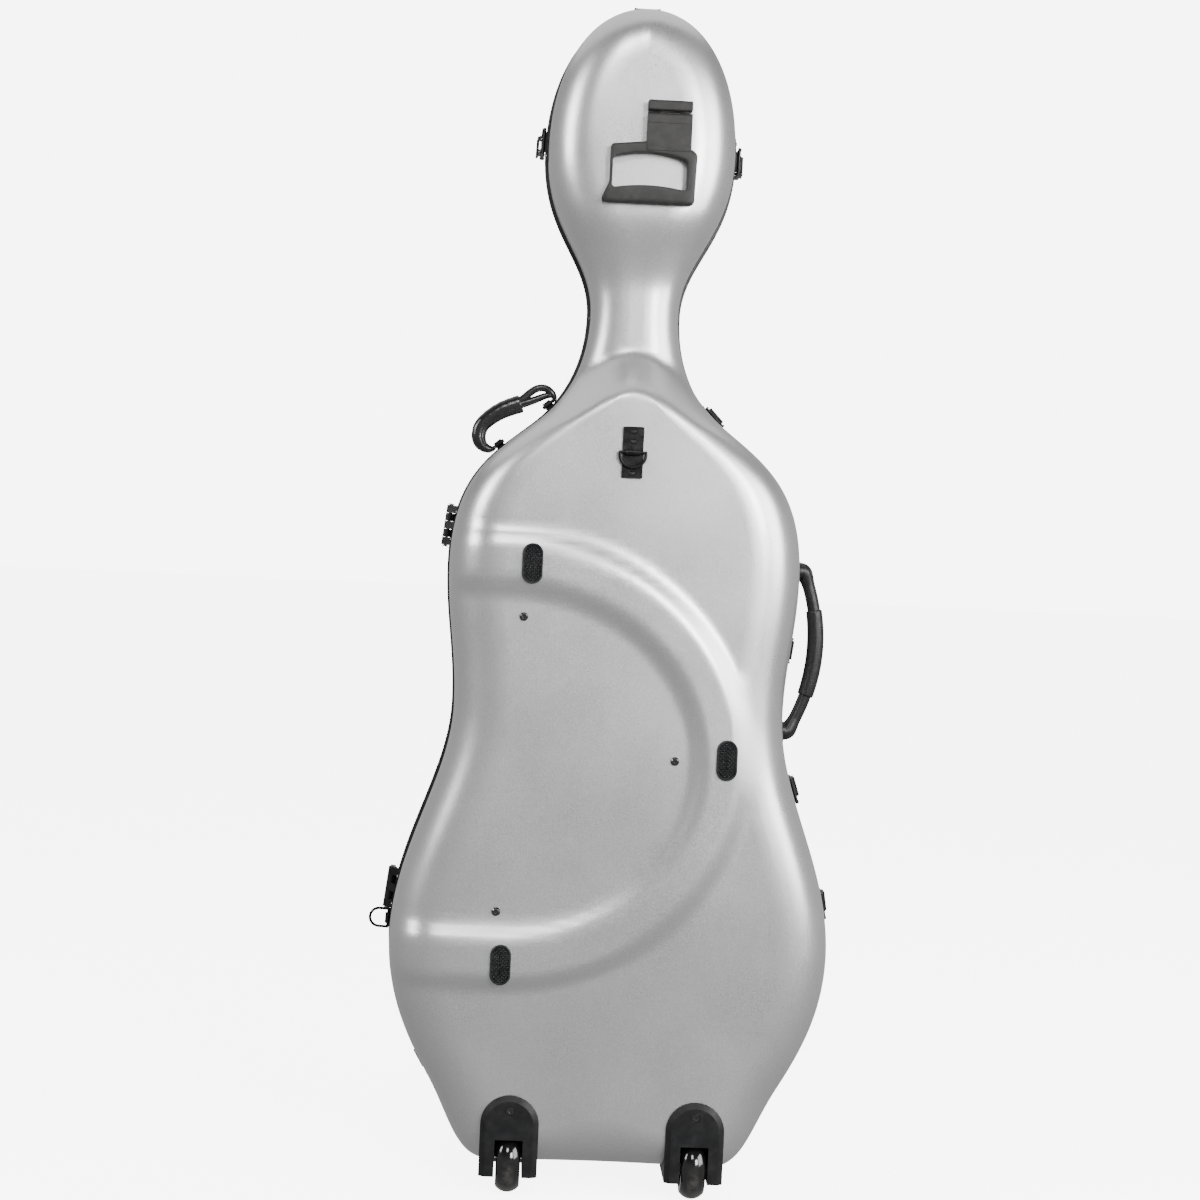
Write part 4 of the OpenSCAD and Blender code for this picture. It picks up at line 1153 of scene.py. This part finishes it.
    def build(self, lid_y: Callable[[float, float], float]) -> None:
        """Makes the padding.

        Args:
            lid_y: gives the depth of the lid lining's inner face, at a height and with a seat.
        """
        plush = Plush("padding_plush", (0.048, 0.049, 0.056)).material()
        sleeve = Plush("sleeve_cloth", (0.018, 0.018, 0.021), pile=0.0009).material()
        rows = [
            ("bout_cushions", self.bout_pads(), plush, "back", "bout_pads"),
            ("end_pin_block", self.end_block(), plush, "back", "end_block"),
            ("neck_saddle", self.cradle(), plush, "back", "neck_cradle"),
            ("bow_sleeves", self.bow_holders(lid_y), sleeve, "lid", "bow_holders"),
        ]
        for name, skin, finish, body, node in rows:
            make_piece(name, skin, finish, body, 50.0, (node,))
        band = make_piece("neck_band", self.strap(), Webbing().material(), "back", 50.0, ("neck_strap",))


@dataclass
class SideHandle:
    """The carrying handle: a leather sleeve on an arc, and two grooved ends that flare to the wall."""

    rim: RimLine
    top_z: float = 679.0
    low_z: float = 495.0
    y: float = -42.0
    off: float = 31.0
    end_off: float = 9.0
    grip_r: float = 9.5
    grip_share: float = 0.52
    end_r: float = 7.3
    flare: Pair = (3.4, 24.0)
    sides: int = 64

    def __post_init__(self) -> None:
        """Works out the arc through both ends."""
        ends = np.array([self.rim.place(self.rim.at_height(z, 1), 0.0) for z in (self.low_z, self.top_z)])
        chord = float(np.linalg.norm(ends[1] - ends[0]))
        sag = self.off - self.end_off
        self.ends = ends
        self.arc_r = (chord * chord / 4 + sag * sag) / (2 * sag)
        self.half = math.asin(chord / 2 / self.arc_r)
        self.axis = (ends[1] - ends[0]) / chord
        self.out = np.array([self.axis[1], -self.axis[0]])
        self.middle = ends.mean(axis=0)

    def on_arc(self, angle: Array) -> Array:
        """Points of the arc in X and Z."""
        reach = (self.off - self.arc_r + self.arc_r * np.cos(angle))[:, None]
        return self.middle + reach * self.out + (self.arc_r * np.sin(angle))[:, None] * self.axis

    def line(self, flat: Array) -> Array:
        """Lifts a line in X and Z to the handle's depth."""
        return placed(flat[:, 0], self.y, flat[:, 1])

    def grip(self) -> Skin:
        """The sleeve: a slightly flat tube, fuller in the middle, with rolled ends and a seam inside."""
        share = np.concatenate([[-1.0, -0.998], np.linspace(-0.99, 0.99, 90), [0.998, 1.0]])
        path = self.line(self.on_arc(share * self.half * self.grip_share))
        edge = np.clip((1 - np.abs(share)) / 0.02, 0.0, 1.0)
        radius = (self.grip_r + 0.5 * (1 - share**2)) * (0.86 + 0.14 * np.sqrt(1 - (1 - edge) ** 2))
        ring = round_section(radius * 0.96, radius, self.sides)
        seam = 1 - 0.045 * np.exp(-(((full_turn(self.sides) - np.pi + 0.5) / 0.09) ** 2))
        return swept(path, ring * seam[None, :, None])

    def end(self, which: int) -> Skin:
        """One end: from the wall outward and round into the arc, with two grooves along it."""
        sign = -1 if which == 0 else 1
        wall = self.ends[which]
        run_in = self.on_arc(np.linspace(sign * self.half, sign * self.half * self.grip_share * 0.97, 8))
        out = self.out
        control = np.vstack([wall + out * 0.5, wall + out * 3.0, run_in[0] - 0.3 * out, run_in[1:]])
        flat = bent(control, 3)
        path = self.line(flat)
        far = np.linalg.norm(flat - flat[0], axis=1)
        radius = self.end_r + self.flare[0] * (1 - smooth(0.0, self.flare[1], far))
        ring = round_section(radius, radius * 1.02, self.sides)
        turn = full_turn(self.sides)
        groove = sum(np.exp(-(((turn - at) / 0.16) ** 2)) for at in (math.pi * 1.22, math.pi * 1.78))
        deep = 0.10 * smooth(2.0, 9.0, far)
        return swept(path, ring * (1 - deep[:, None] * groove[None, :])[..., None])

    def plates(self) -> Skin:
        """The plates that the ends stand on, bent to the wall."""
        skins = []
        for z in (self.low_z, self.top_z):
            outline = evenly(rounded_box(13.0, 12.0, 6.0), 60)
            rings = rounded_prism(outline, 0.05, 3.0, 1.0)
            flat = self.rim.place(self.rim.at_height(z, 1) + rings[..., 0], rings[..., 2])
            skins.append(loft(placed(flat[..., 0], self.y + rings[..., 1], flat[..., 1])))
        return joined(skins)

    def build(self) -> None:
        """Makes the sleeve and the ends."""
        leather = LeatherGrain("grip_leather").material()
        moulded = LeatherGrain("grip_ends", pebble=0.0011, depth=0.00010).material()
        node = ("side_handle_grip",)
        make_piece("side_grip_sleeve", self.grip(), leather, "back", 60.0, node)
        ends = joined([self.end(0), self.end(1), self.plates()])
        make_piece("side_grip_ends", ends, moulded, "back", 60.0, ("side_handle_ends",))


@dataclass
class ShoulderHandle:
    """The handle on the left shoulder: a padded sleeve, its loop of two cord strands and the pivots."""

    y: float = -28.0
    low_pivot: Pair = (-149.232, 810.198)
    high_pivot: Pair = (-95.1695, 857.614)
    sleeve_rows: tuple[Triple, ...] = (
        (-161.5, 803.6, 4.4), (-166.0, 805.2, 5.8), (-171.0, 810.0, 7.6), (-173.6, 818.0, 8.4),
        (-171.4, 829.3, 8.7), (-163.0, 838.5, 9.2), (-149.8, 848.0, 9.9), (-137.0, 853.6, 10.3),
        (-125.5, 857.6, 10.4))
    upper_rows: tuple[Triple, ...] = (
        (-132.0, 858.0, 4.6), (-124.0, 862.5, 4.6), (-117.0, 870.0, 4.3), (-108.0, 876.5, 4.2),
        (-98.0, 877.0, 4.2), (-90.5, 871.0, 4.4))
    lower_rows: tuple[Triple, ...] = (
        (-132.0, 855.0, 4.6), (-123.0, 857.6, 4.8), (-110.0, 862.6, 4.3), (-98.0, 868.0, 3.7),
        (-91.0, 869.0, 3.2))
    core_rows: tuple[Triple, ...] = ((-162.0, 803.6, 5.2), (-168.0, 807.0, 5.6), (-171.0, 811.0, 5.6))
    body: str = "shoulder_handle"
    sleeve_thick: float = 8.2
    sides: int = 88

    def __post_init__(self) -> None:
        """Finds the pivot line's direction."""
        self.a, self.b = np.array(self.low_pivot), np.array(self.high_pivot)
        self.along = (self.b - self.a) / np.linalg.norm(self.b - self.a)

    def on_pivot(self, pivot: Array, along: float, radius: float) -> Triple:
        """A row of a tube on the pivot line."""
        place = pivot + along * self.along
        return float(place[0]), float(place[1]), radius

    def tube(self, rows: tuple[Triple, ...]) -> Skin:
        """A round tube along rows of X, Z and a radius, with its corners cut back."""
        path = bent(np.array(rows), 3)
        return swept(placed(path[:, 0], self.y, path[:, 1]), round_section(path[:, 2], path[:, 2], 40))

    def sleeve(self) -> Skin:
        """The padded sleeve: a tube that widens upward, with rolled ends, piping and soft creases.

        The rows are spread evenly along the line; the radius falls to three quarters over
        the last fiftieth at each end, along a quarter circle.
        """
        path = bent(np.array(self.sleeve_rows), 4)
        run = run_along(path[:, :2])
        share = np.concatenate([[0.0, 0.003], np.linspace(0.01, 0.99, 130), [0.997, 1.0]])
        x, z, wide = (np.interp(share * run[-1], run, path[:, k]) for k in range(3))
        edge = np.clip(np.minimum(share, 1 - share) / 0.02, 0.0, 1.0)
        lip = 0.74 + 0.26 * np.sqrt(1 - (1 - edge) ** 2)
        ring = round_section(wide * lip, np.minimum(wide, self.sleeve_thick) * lip, self.sides)
        turn = full_turn(self.sides)
        piping = 0.06 * np.exp(-(((turn - 5.45) / 0.07) ** 2)) - 0.05 * np.exp(-(((turn - 5.22) / 0.09) ** 2))
        crease = 0.012 * np.sin(share * 61.0)[:, None] * np.cos(turn - np.pi)[None, :].clip(0, 1)
        return swept(placed(x, self.y, z), ring * (1 + piping[None, :] + crease)[..., None])

    def cords(self) -> Skin:
        """The core: from the lower rod into the sleeve, and both strands of the loop to the upper rod."""
        low_rod = [self.on_pivot(self.a, *at) for at in ((7.0, 2.0), (-6.5, 2.0), (-9.5, 3.4))]
        high_rod = [self.on_pivot(self.b, *at) for at in ((11.0, 2.8), (6.5, 2.0), (-7.0, 2.0))]
        lower = (*self.lower_rows, self.on_pivot(self.b, 10.5, 1.8))
        rows = ((*low_rod, *self.core_rows), (*self.upper_rows, *high_rod), lower)
        return joined(self.tube(line) for line in rows)

    def build(self) -> None:
        """Makes the sleeve and the cords."""
        black = (0.005, 0.005, 0.005)
        gloss = LeatherGrain("sleeve_gloss", black, roughness=0.24, pebble=0.0030, depth=0.00002, coat=0.5)
        cord = LeatherGrain("cord_leather", black, roughness=0.28, pebble=0.0020, depth=0.00005, coat=0.3)
        sleeve = make_piece("shoulder_sleeve", self.sleeve(), gloss.material(), self.body, 60.0,
                            ("shoulder_handle",))
        make_piece("shoulder_cords", self.cords(), cord.material(), self.body, 60.0)


@dataclass
class PullHandle:
    """The handle on the head: a fixed top block, and a swinging stem with a framed grip."""

    stem: Pair = (1.0, 51.0)
    pin: Pair = (-112.0, 1178.0)
    knuckle_r: float = 4.9
    face: float = -117.2
    front: float = -117.0
    rear: float = -106.5
    middle: Pair = (6.0, 1117.0)
    frame_corners: tuple[Pair, ...] = (
        (-45.0, -36.0), (54.0, -36.0), (57.0, -33.0), (58.5, 20.0), (56.0, 23.0), (50.0, 27.0), (2.0, 33.0),
        (-36.0, 29.0), (-38.5, 27.0), (-38.5, -13.0), (-47.0, -32.0))
    window: Pair = (-35.5, 47.5)
    lug_half: float = 10.0
    lug_gap: float = 0.4
    block_front: float = -118.0
    shell_y: float = -104.05
    arches: tuple[Triple, ...] = ((4.0, 20.5, 130.0), (4.0, -16.0, 200.0))

    def polar(self, outline: Array, count: int) -> Array:
        """Points of a closed outline at even angles about the grip's middle.

        Args:
            outline: dense points, relative to the grip's middle height.
            count: number of points wanted.

        Returns:
            The points, anticlockwise.
        """
        rays = outline - np.array([self.middle[0], 0.0])
        angle = np.arctan2(rays[:, 1], rays[:, 0])
        order = np.argsort(angle)
        at = np.linspace(-np.pi, np.pi, count, endpoint=False)
        far = np.interp(at, angle[order], np.hypot(*rays.T)[order], period=2 * np.pi)
        return np.stack([self.middle[0] + far * np.cos(at), far * np.sin(at)], axis=1)

    def window_outline(self) -> Array:
        """The window: straight ends between two arcs, with round corners."""
        left, right = self.window
        x = np.linspace(left, right, 9)
        (ax, az, ar), (bx, bz, br) = self.arches
        top = az - ar + np.sqrt(ar**2 - (x - ax) ** 2)
        low = bz - br + np.sqrt(br**2 - (x - bx) ** 2)
        corners = [*zip(x, low), *zip(x[::-1], top[::-1])]
        return evenly(rounded_corners(corners, 5.0, 10), 900)

    def frame(self) -> Skin:
        """The framed grip: a section carried round between the outer outline and the window."""
        outer = self.polar(evenly(rounded_corners(list(self.frame_corners), 3.0, 8), 1200), 360)
        hole = self.polar(self.window_outline(), 360)
        rear, front = self.rear, self.front
        rows = [(0.0, rear), (0.0, front + 2.2), (0.05, front + 1.0), (0.12, front + 0.35), (0.26, front),
                (0.8, front), (0.93, front + 0.1), (0.985, front + 0.5), (1.0, front + 1.3),
                (1.0, rear - 0.6), (0.95, rear)]
        rings = [(mix(outer, hole, share), y) for share, y in rows]
        return loft(np.stack([placed(at[:, 0], y, at[:, 1] + self.middle[1]) for at, y in rings]), True)

    def block(self, x: Pair, z: Pair, y: Pair, edge: float, corner: float = 2.0) -> Skin:
        """A block with round edges, between limits in X, Z and Y."""
        half = (x[1] - x[0]) / 2, (z[1] - z[0]) / 2
        outline = evenly(rounded_box(*half, corner), 120) + np.array([x[0] + half[0], z[0] + half[1] + LIFT])
        return loft(along_y(rounded_prism(outline, *y, edge)))

    def cover(self) -> Skin:
        """The stem's face over the knuckles: a flat strip that turns along an arc about the pin.

        Its outer line is straight from below the knuckles to the pin's height and then an
        arc of 50 degrees about the pin; its inner line is the same with a smaller radius.
        """
        pin_y, pin_z = self.pin
        turn = np.linspace(0.0, 50.0, 12) * math.pi / 180.0
        lines = []
        for radius in (self.knuckle_r - 0.3, pin_y - self.face):
            bend = np.stack([pin_y - radius * np.cos(turn), pin_z + radius * np.sin(turn)], axis=1)
            lines.append(np.vstack([[[pin_y - radius, pin_z - 7.2]], bend]))
        outline = np.vstack([lines[1], lines[0][::-1]])
        low, high = self.stem
        across = np.array([low + 0.02, low + 0.3, high - 0.3, high - 0.02])
        return loft(placed(across[:, None], outline[None, :, 0], outline[None, :, 1]))

    def knuckle(self, low: float, high: float, radius: float) -> Skin:
        """A barrel round the pin between two places across."""
        circle = evenly(rounded_box(radius, radius, radius - 0.01, 16), 64)
        rings = rounded_prism(circle + np.array([self.pin[0], self.pin[1] + LIFT]), low, high, 0.6)
        return loft(rings[..., [2, 0, 1]])

    def build(self) -> None:
        """Makes the fixed block and the swinging part."""
        plastic = MouldedPlastic("charcoal_plastic", (0.017, 0.0165, 0.016), 0.46, edge=0.0006, gloss=0.25)
        plastic = plastic.material()
        (low, high), (pin_y, pin_z) = self.stem, self.pin
        middle = (low + high) / 2
        lug = (middle - self.lug_half, middle + self.lug_half)
        fixed = [self.block((low, high), (pin_z + 6.5, pin_z + 18), (self.block_front, self.shell_y), 1.6),
                 self.knuckle(*lug, self.knuckle_r - 0.5),
                 self.block(lug, (pin_z - 5, pin_z + 1.5), (pin_y, self.shell_y), 0.4, 0.5)]
        make_piece("pull_handle_block", joined(fixed), plastic, "back", 40.0, ("head_handle_mount",))
        root = self.middle[1] + 22.5
        swinging = [self.frame(), self.cover(),
                    self.block(self.stem, (root, pin_z - 6.9), (self.face, self.rear), 0.6)]
        for a, b in ((low, lug[0] - self.lug_gap), (lug[1] + self.lug_gap, high)):
            swinging += [self.knuckle(a, b, self.knuckle_r),
                         self.block((a, b), (pin_z - 10, pin_z), (self.face + 0.9, self.rear), 0.5, 0.6)]
        make_piece("pull_handle_grip", joined(swinging), plastic, "head_handle", 40.0, ("head_handle",))


@dataclass
class BackPads:
    """Rubber pads on the crescent: a raised rim round a field of small diamonds."""

    sites: tuple[Pair, ...] = ((-105.0, 675.0), (119.0, 467.0), (-121.0, 231.0))
    half_w: float = 11.5
    half_h: float = 22.5
    base_y: float = -149.05
    thick: float = 2.95
    pitch: float = 4.4
    rim_w: float = 1.8
    count: int = 200

    def pad(self, x: float, z: float) -> Skin:
        """One pad; the field's height is a grid of pyramids turned by an eighth of a turn."""
        outline = evenly(rounded_box(self.half_w, self.half_h, self.half_w - 0.01, 16), self.count)
        rim = ((0, 0), (0, 1.6), (0.25, 2.5), (0.7, self.thick), (self.rim_w, self.thick),
               (self.rim_w + 0.35, 1.9))
        rings = [(inset(outline, d), h) for d, h in rim]
        field_edge = inset(outline, self.rim_w + 0.5)
        reach = self.half_h - self.half_w
        spine = np.stack([np.zeros(self.count), np.clip(field_edge[:, 1], -reach, reach)], axis=1)
        for share in np.linspace(0.0, 0.985, 34):
            place = mix(field_edge, spine, share)
            u, v = (place[:, 0] + place[:, 1]) / self.pitch, (place[:, 0] - place[:, 1]) / self.pitch
            peak = np.minimum(*(1 - np.abs(2 * (w - np.floor(w)) - 1) for w in (u, v)))
            rings.append((place, 0.9 + 1.95 * np.clip(peak * 1.35, 0, 1)))
        return loft(np.stack([placed(p[:, 0] + x, self.base_y - h, p[:, 1] + z) for p, h in rings]))

    def build(self) -> None:
        """Makes the three pads."""
        rubber = MouldedPlastic("pad_rubber", (0.012, 0.0125, 0.013), 0.34, edge=0.0002).material()
        skins = joined(self.pad(x, z) for x, z in self.sites)
        make_piece("crescent_pads", skins, rubber, "back", 30.0, ("back_pads",))


# Carried-over hardware


@dataclass
class Hardware:
    """The finishes of the nodes that keep their CAD shape."""

    def table(self) -> list[tuple[Any, tuple[str, ...]]]:
        """Each finish and the names of its nodes; a trailing * stands for any ending."""
        black = MouldedPlastic("black_hardware", (0.004, 0.004, 0.0045), 0.3, gloss=0.25)
        housing = MouldedPlastic("housing_plastic", (0.008, 0.008, 0.0085), 0.46, edge=0.0008, gloss=0.2)
        worn = MouldedPlastic("worn_leaf", (0.02, 0.02, 0.02), 0.34, metallic=0.5, gloss=0.3)
        return [
            (black, ("latch_bases", "latch_keepers", "latch_lever_*", "hinge_back_leaves", "strap_plate",
                     "shoulder_tabs", "side_ring_tab", "bow_button_*")),
            (housing, ("wheel_housings",)),
            (worn, ("hinge_lid_leaves",)),
            (WorkedMetal("steel"), ("wheel_axles", "hinge_pins", "latch_pins")),
            (WorkedMetal("dark_metal", (0.022, 0.022, 0.023), 0.36),
             ("back_ring", "side_ring", "head_handle_pin", "latch_hook_*")),
            (WorkedMetal("black_screw", (0.10, 0.10, 0.10), 0.16),
             ("band_screws", "neck_screws", "back_rivets", "lid_rivets", "strap_rivets", "housing_screws")),
            (TyreRubber(), ("tyre_*",)),
            (MouldedPlastic("hub_gloss", (0.008, 0.008, 0.008), 0.2), ("hub_*",)),
            (MouldedPlastic("foot_rubber", (0.01, 0.01, 0.01), 0.6, grain=0.00008), ("stand_feet",)),
        ]

    def dress(self) -> None:
        """Gives every carried-over node its finish."""
        for finish, names in self.table():
            material = finish.material()
            for name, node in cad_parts.items():
                if any(name == want or (want.endswith("*") and name.startswith(want[:-1])) for want in names):
                    node.data.materials.clear()
                    node.data.materials.append(material)
        log.info("looked through %d nodes", len(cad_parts))


# Studio


@dataclass
class Studio:
    """Camera, light and floor."""

    eye: Triple = (-0.12, -2.6303, 0.7163)
    aim: Triple = (-0.0587, 0.0, 0.6728)
    roll_deg: float = 2.574
    lens: float = 67.67
    shift: Pair = (0.0246, -0.0081)
    floor_half: float = 40.0
    horizon: tuple[float, float, float, float] = (-0.40, 0.05, 0.42, 0.48)
    ceiling: tuple[float, float, float, float] = (0.10, 0.60, 1.0, 0.15)
    backdrop: float = 7.0
    floor_glow: float = 6.5
    lamps: tuple[tuple[str, Triple, float, float], ...] = (
        ("left", (-2.9, -0.9, 2.0), 1.2, 70.0), ("right", (2.6, -1.6, 1.5), 1.8, 120.0),
        ("front", (-0.4, -2.8, 2.7), 0.8, 45.0), ("key", (1.4, -2.9, 1.5), 1.0, 105.0))
    sun_power: float = 1.6
    sun_spread_deg: float = 80.0
    sun_ray: Triple = (0.1, -0.5, -1.0)

    def facing(self, ray: Vector) -> Matrix:
        """The turn of a camera or lamp that looks along a ray."""
        return ray.to_track_quat("-Z", "Y").to_matrix().to_4x4()

    def camera(self) -> None:
        """Places the camera: it looks along +Y from behind the case, rolled a little."""
        data = bpy.data.cameras.new("view")
        eye = Vector(self.eye)
        turn = self.facing(Vector(self.aim) - eye)
        made = added("view", data)
        roll = Matrix.Rotation(math.radians(self.roll_deg), 4, "Z")
        made.matrix_world = Matrix.Translation(eye) @ turn @ roll
        data.sensor_fit = "HORIZONTAL"
        data.sensor_width = 36.0
        data.lens = self.lens
        data.shift_x, data.shift_y = self.shift
        data.clip_end = 100.0
        bpy.context.scene.camera = made

    def lamp(self, name: str, place: Triple, size: float, power: float) -> None:
        """Adds a square area lamp that faces the case.

        Args:
            name: the lamp's name.
            place: where it hangs.
            size: side of the square.
            power: its power in watts.
        """
        data = bpy.data.lights.new(name, "AREA")
        data.shape, data.size, data.energy = "SQUARE", size, power
        ray = Vector((0.0, 0.0, 0.7)) - Vector(place)
        added(name, data).matrix_world = Matrix.Translation(place) @ self.facing(ray)

    def sun(self) -> None:
        """Adds one very soft sun from beyond the case, which lights the floor evenly."""
        data = bpy.data.lights.new("soft_sun", "SUN")
        data.energy, data.angle = self.sun_power, math.radians(self.sun_spread_deg)
        added("soft_sun", data).matrix_world = self.facing(Vector(self.sun_ray))

    def sky(self) -> None:
        """Surrounds the scene with a soft white that dims to floor and ceiling; seen directly it is plain."""
        world = bpy.data.worlds.new("sky")
        world.use_nodes = True
        tree = world.node_tree
        place = tree.nodes.new("ShaderNodeTexCoord")
        height = tree.nodes.new("ShaderNodeSeparateXYZ")
        level = tree.nodes.new("ShaderNodeMath")
        level.operation = "MULTIPLY"
        tree.links.new(place.outputs["Generated"], height.inputs[0])
        for number, limits in enumerate((self.horizon, self.ceiling)):
            dim = tree.nodes.new("ShaderNodeMapRange")
            dim.interpolation_type = "SMOOTHSTEP"
            tree.links.new(height.outputs["Z"], dim.inputs[0])
            tree.links.new(dim.outputs[0], level.inputs[number])
            for socket, limit in zip(list(dim.inputs)[1:5], limits):
                socket.default_value = limit
        seen = tree.nodes.new("ShaderNodeLightPath")
        pick = tree.nodes.new("ShaderNodeMix")
        tree.links.new(seen.outputs["Is Camera Ray"], pick.inputs[0])
        tree.links.new(level.outputs[0], pick.inputs[2])
        pick.inputs[3].default_value = self.backdrop
        tree.links.new(pick.outputs[0], tree.nodes["Background"].inputs[1])
        tree.nodes["Background"].inputs[0].default_value = (1.0, 1.0, 1.0, 1.0)
        bpy.context.scene.world = world

    def build(self) -> None:
        """Makes camera, lamps, sky and floor."""
        self.camera()
        for lamp in self.lamps:
            self.lamp(*lamp)
        self.sun()
        self.sky()
        graph = Graph("pale_floor")
        mottled = graph.noise(0.4, 2.0).ramp(0.3, 0.7, 0.75, 0.8)
        white = (0.93, 0.93, 0.93, 1.0)
        pale = graph.finish(Base_Color=white, Roughness=mottled, Specular_IOR_Level=0.2, Emission_Color=white,
                            Emission_Strength=self.floor_glow)
        far = self.floor_half
        mesh = bpy.data.meshes.new("floor")
        mesh.from_pydata([(-far, -far, 0), (far, -far, 0), (far, far, 0), (-far, far, 0)], [], [(0, 1, 2, 3)])
        mesh.materials.append(pale)
        floor = added("floor", mesh)
        floor.visible_glossy = False
        floor.visible_diffuse = False


def main() -> None:
    """Builds the studio, then the case from its shells to its hardware."""
    logging.basicConfig(level=logging.INFO, format="%(name)s: %(message)s")
    Studio().build()
    form = CaseForm()
    rim = RimLine(form)
    Shells(form).build()
    RimBead(form).build()
    Padding(rim).build(form.lid_lining)
    BackPads().build()
    SideHandle(rim).build()
    ShoulderHandle().build()
    PullHandle().build()
    Hardware().dress()


if __name__ == "__main__":
    main()
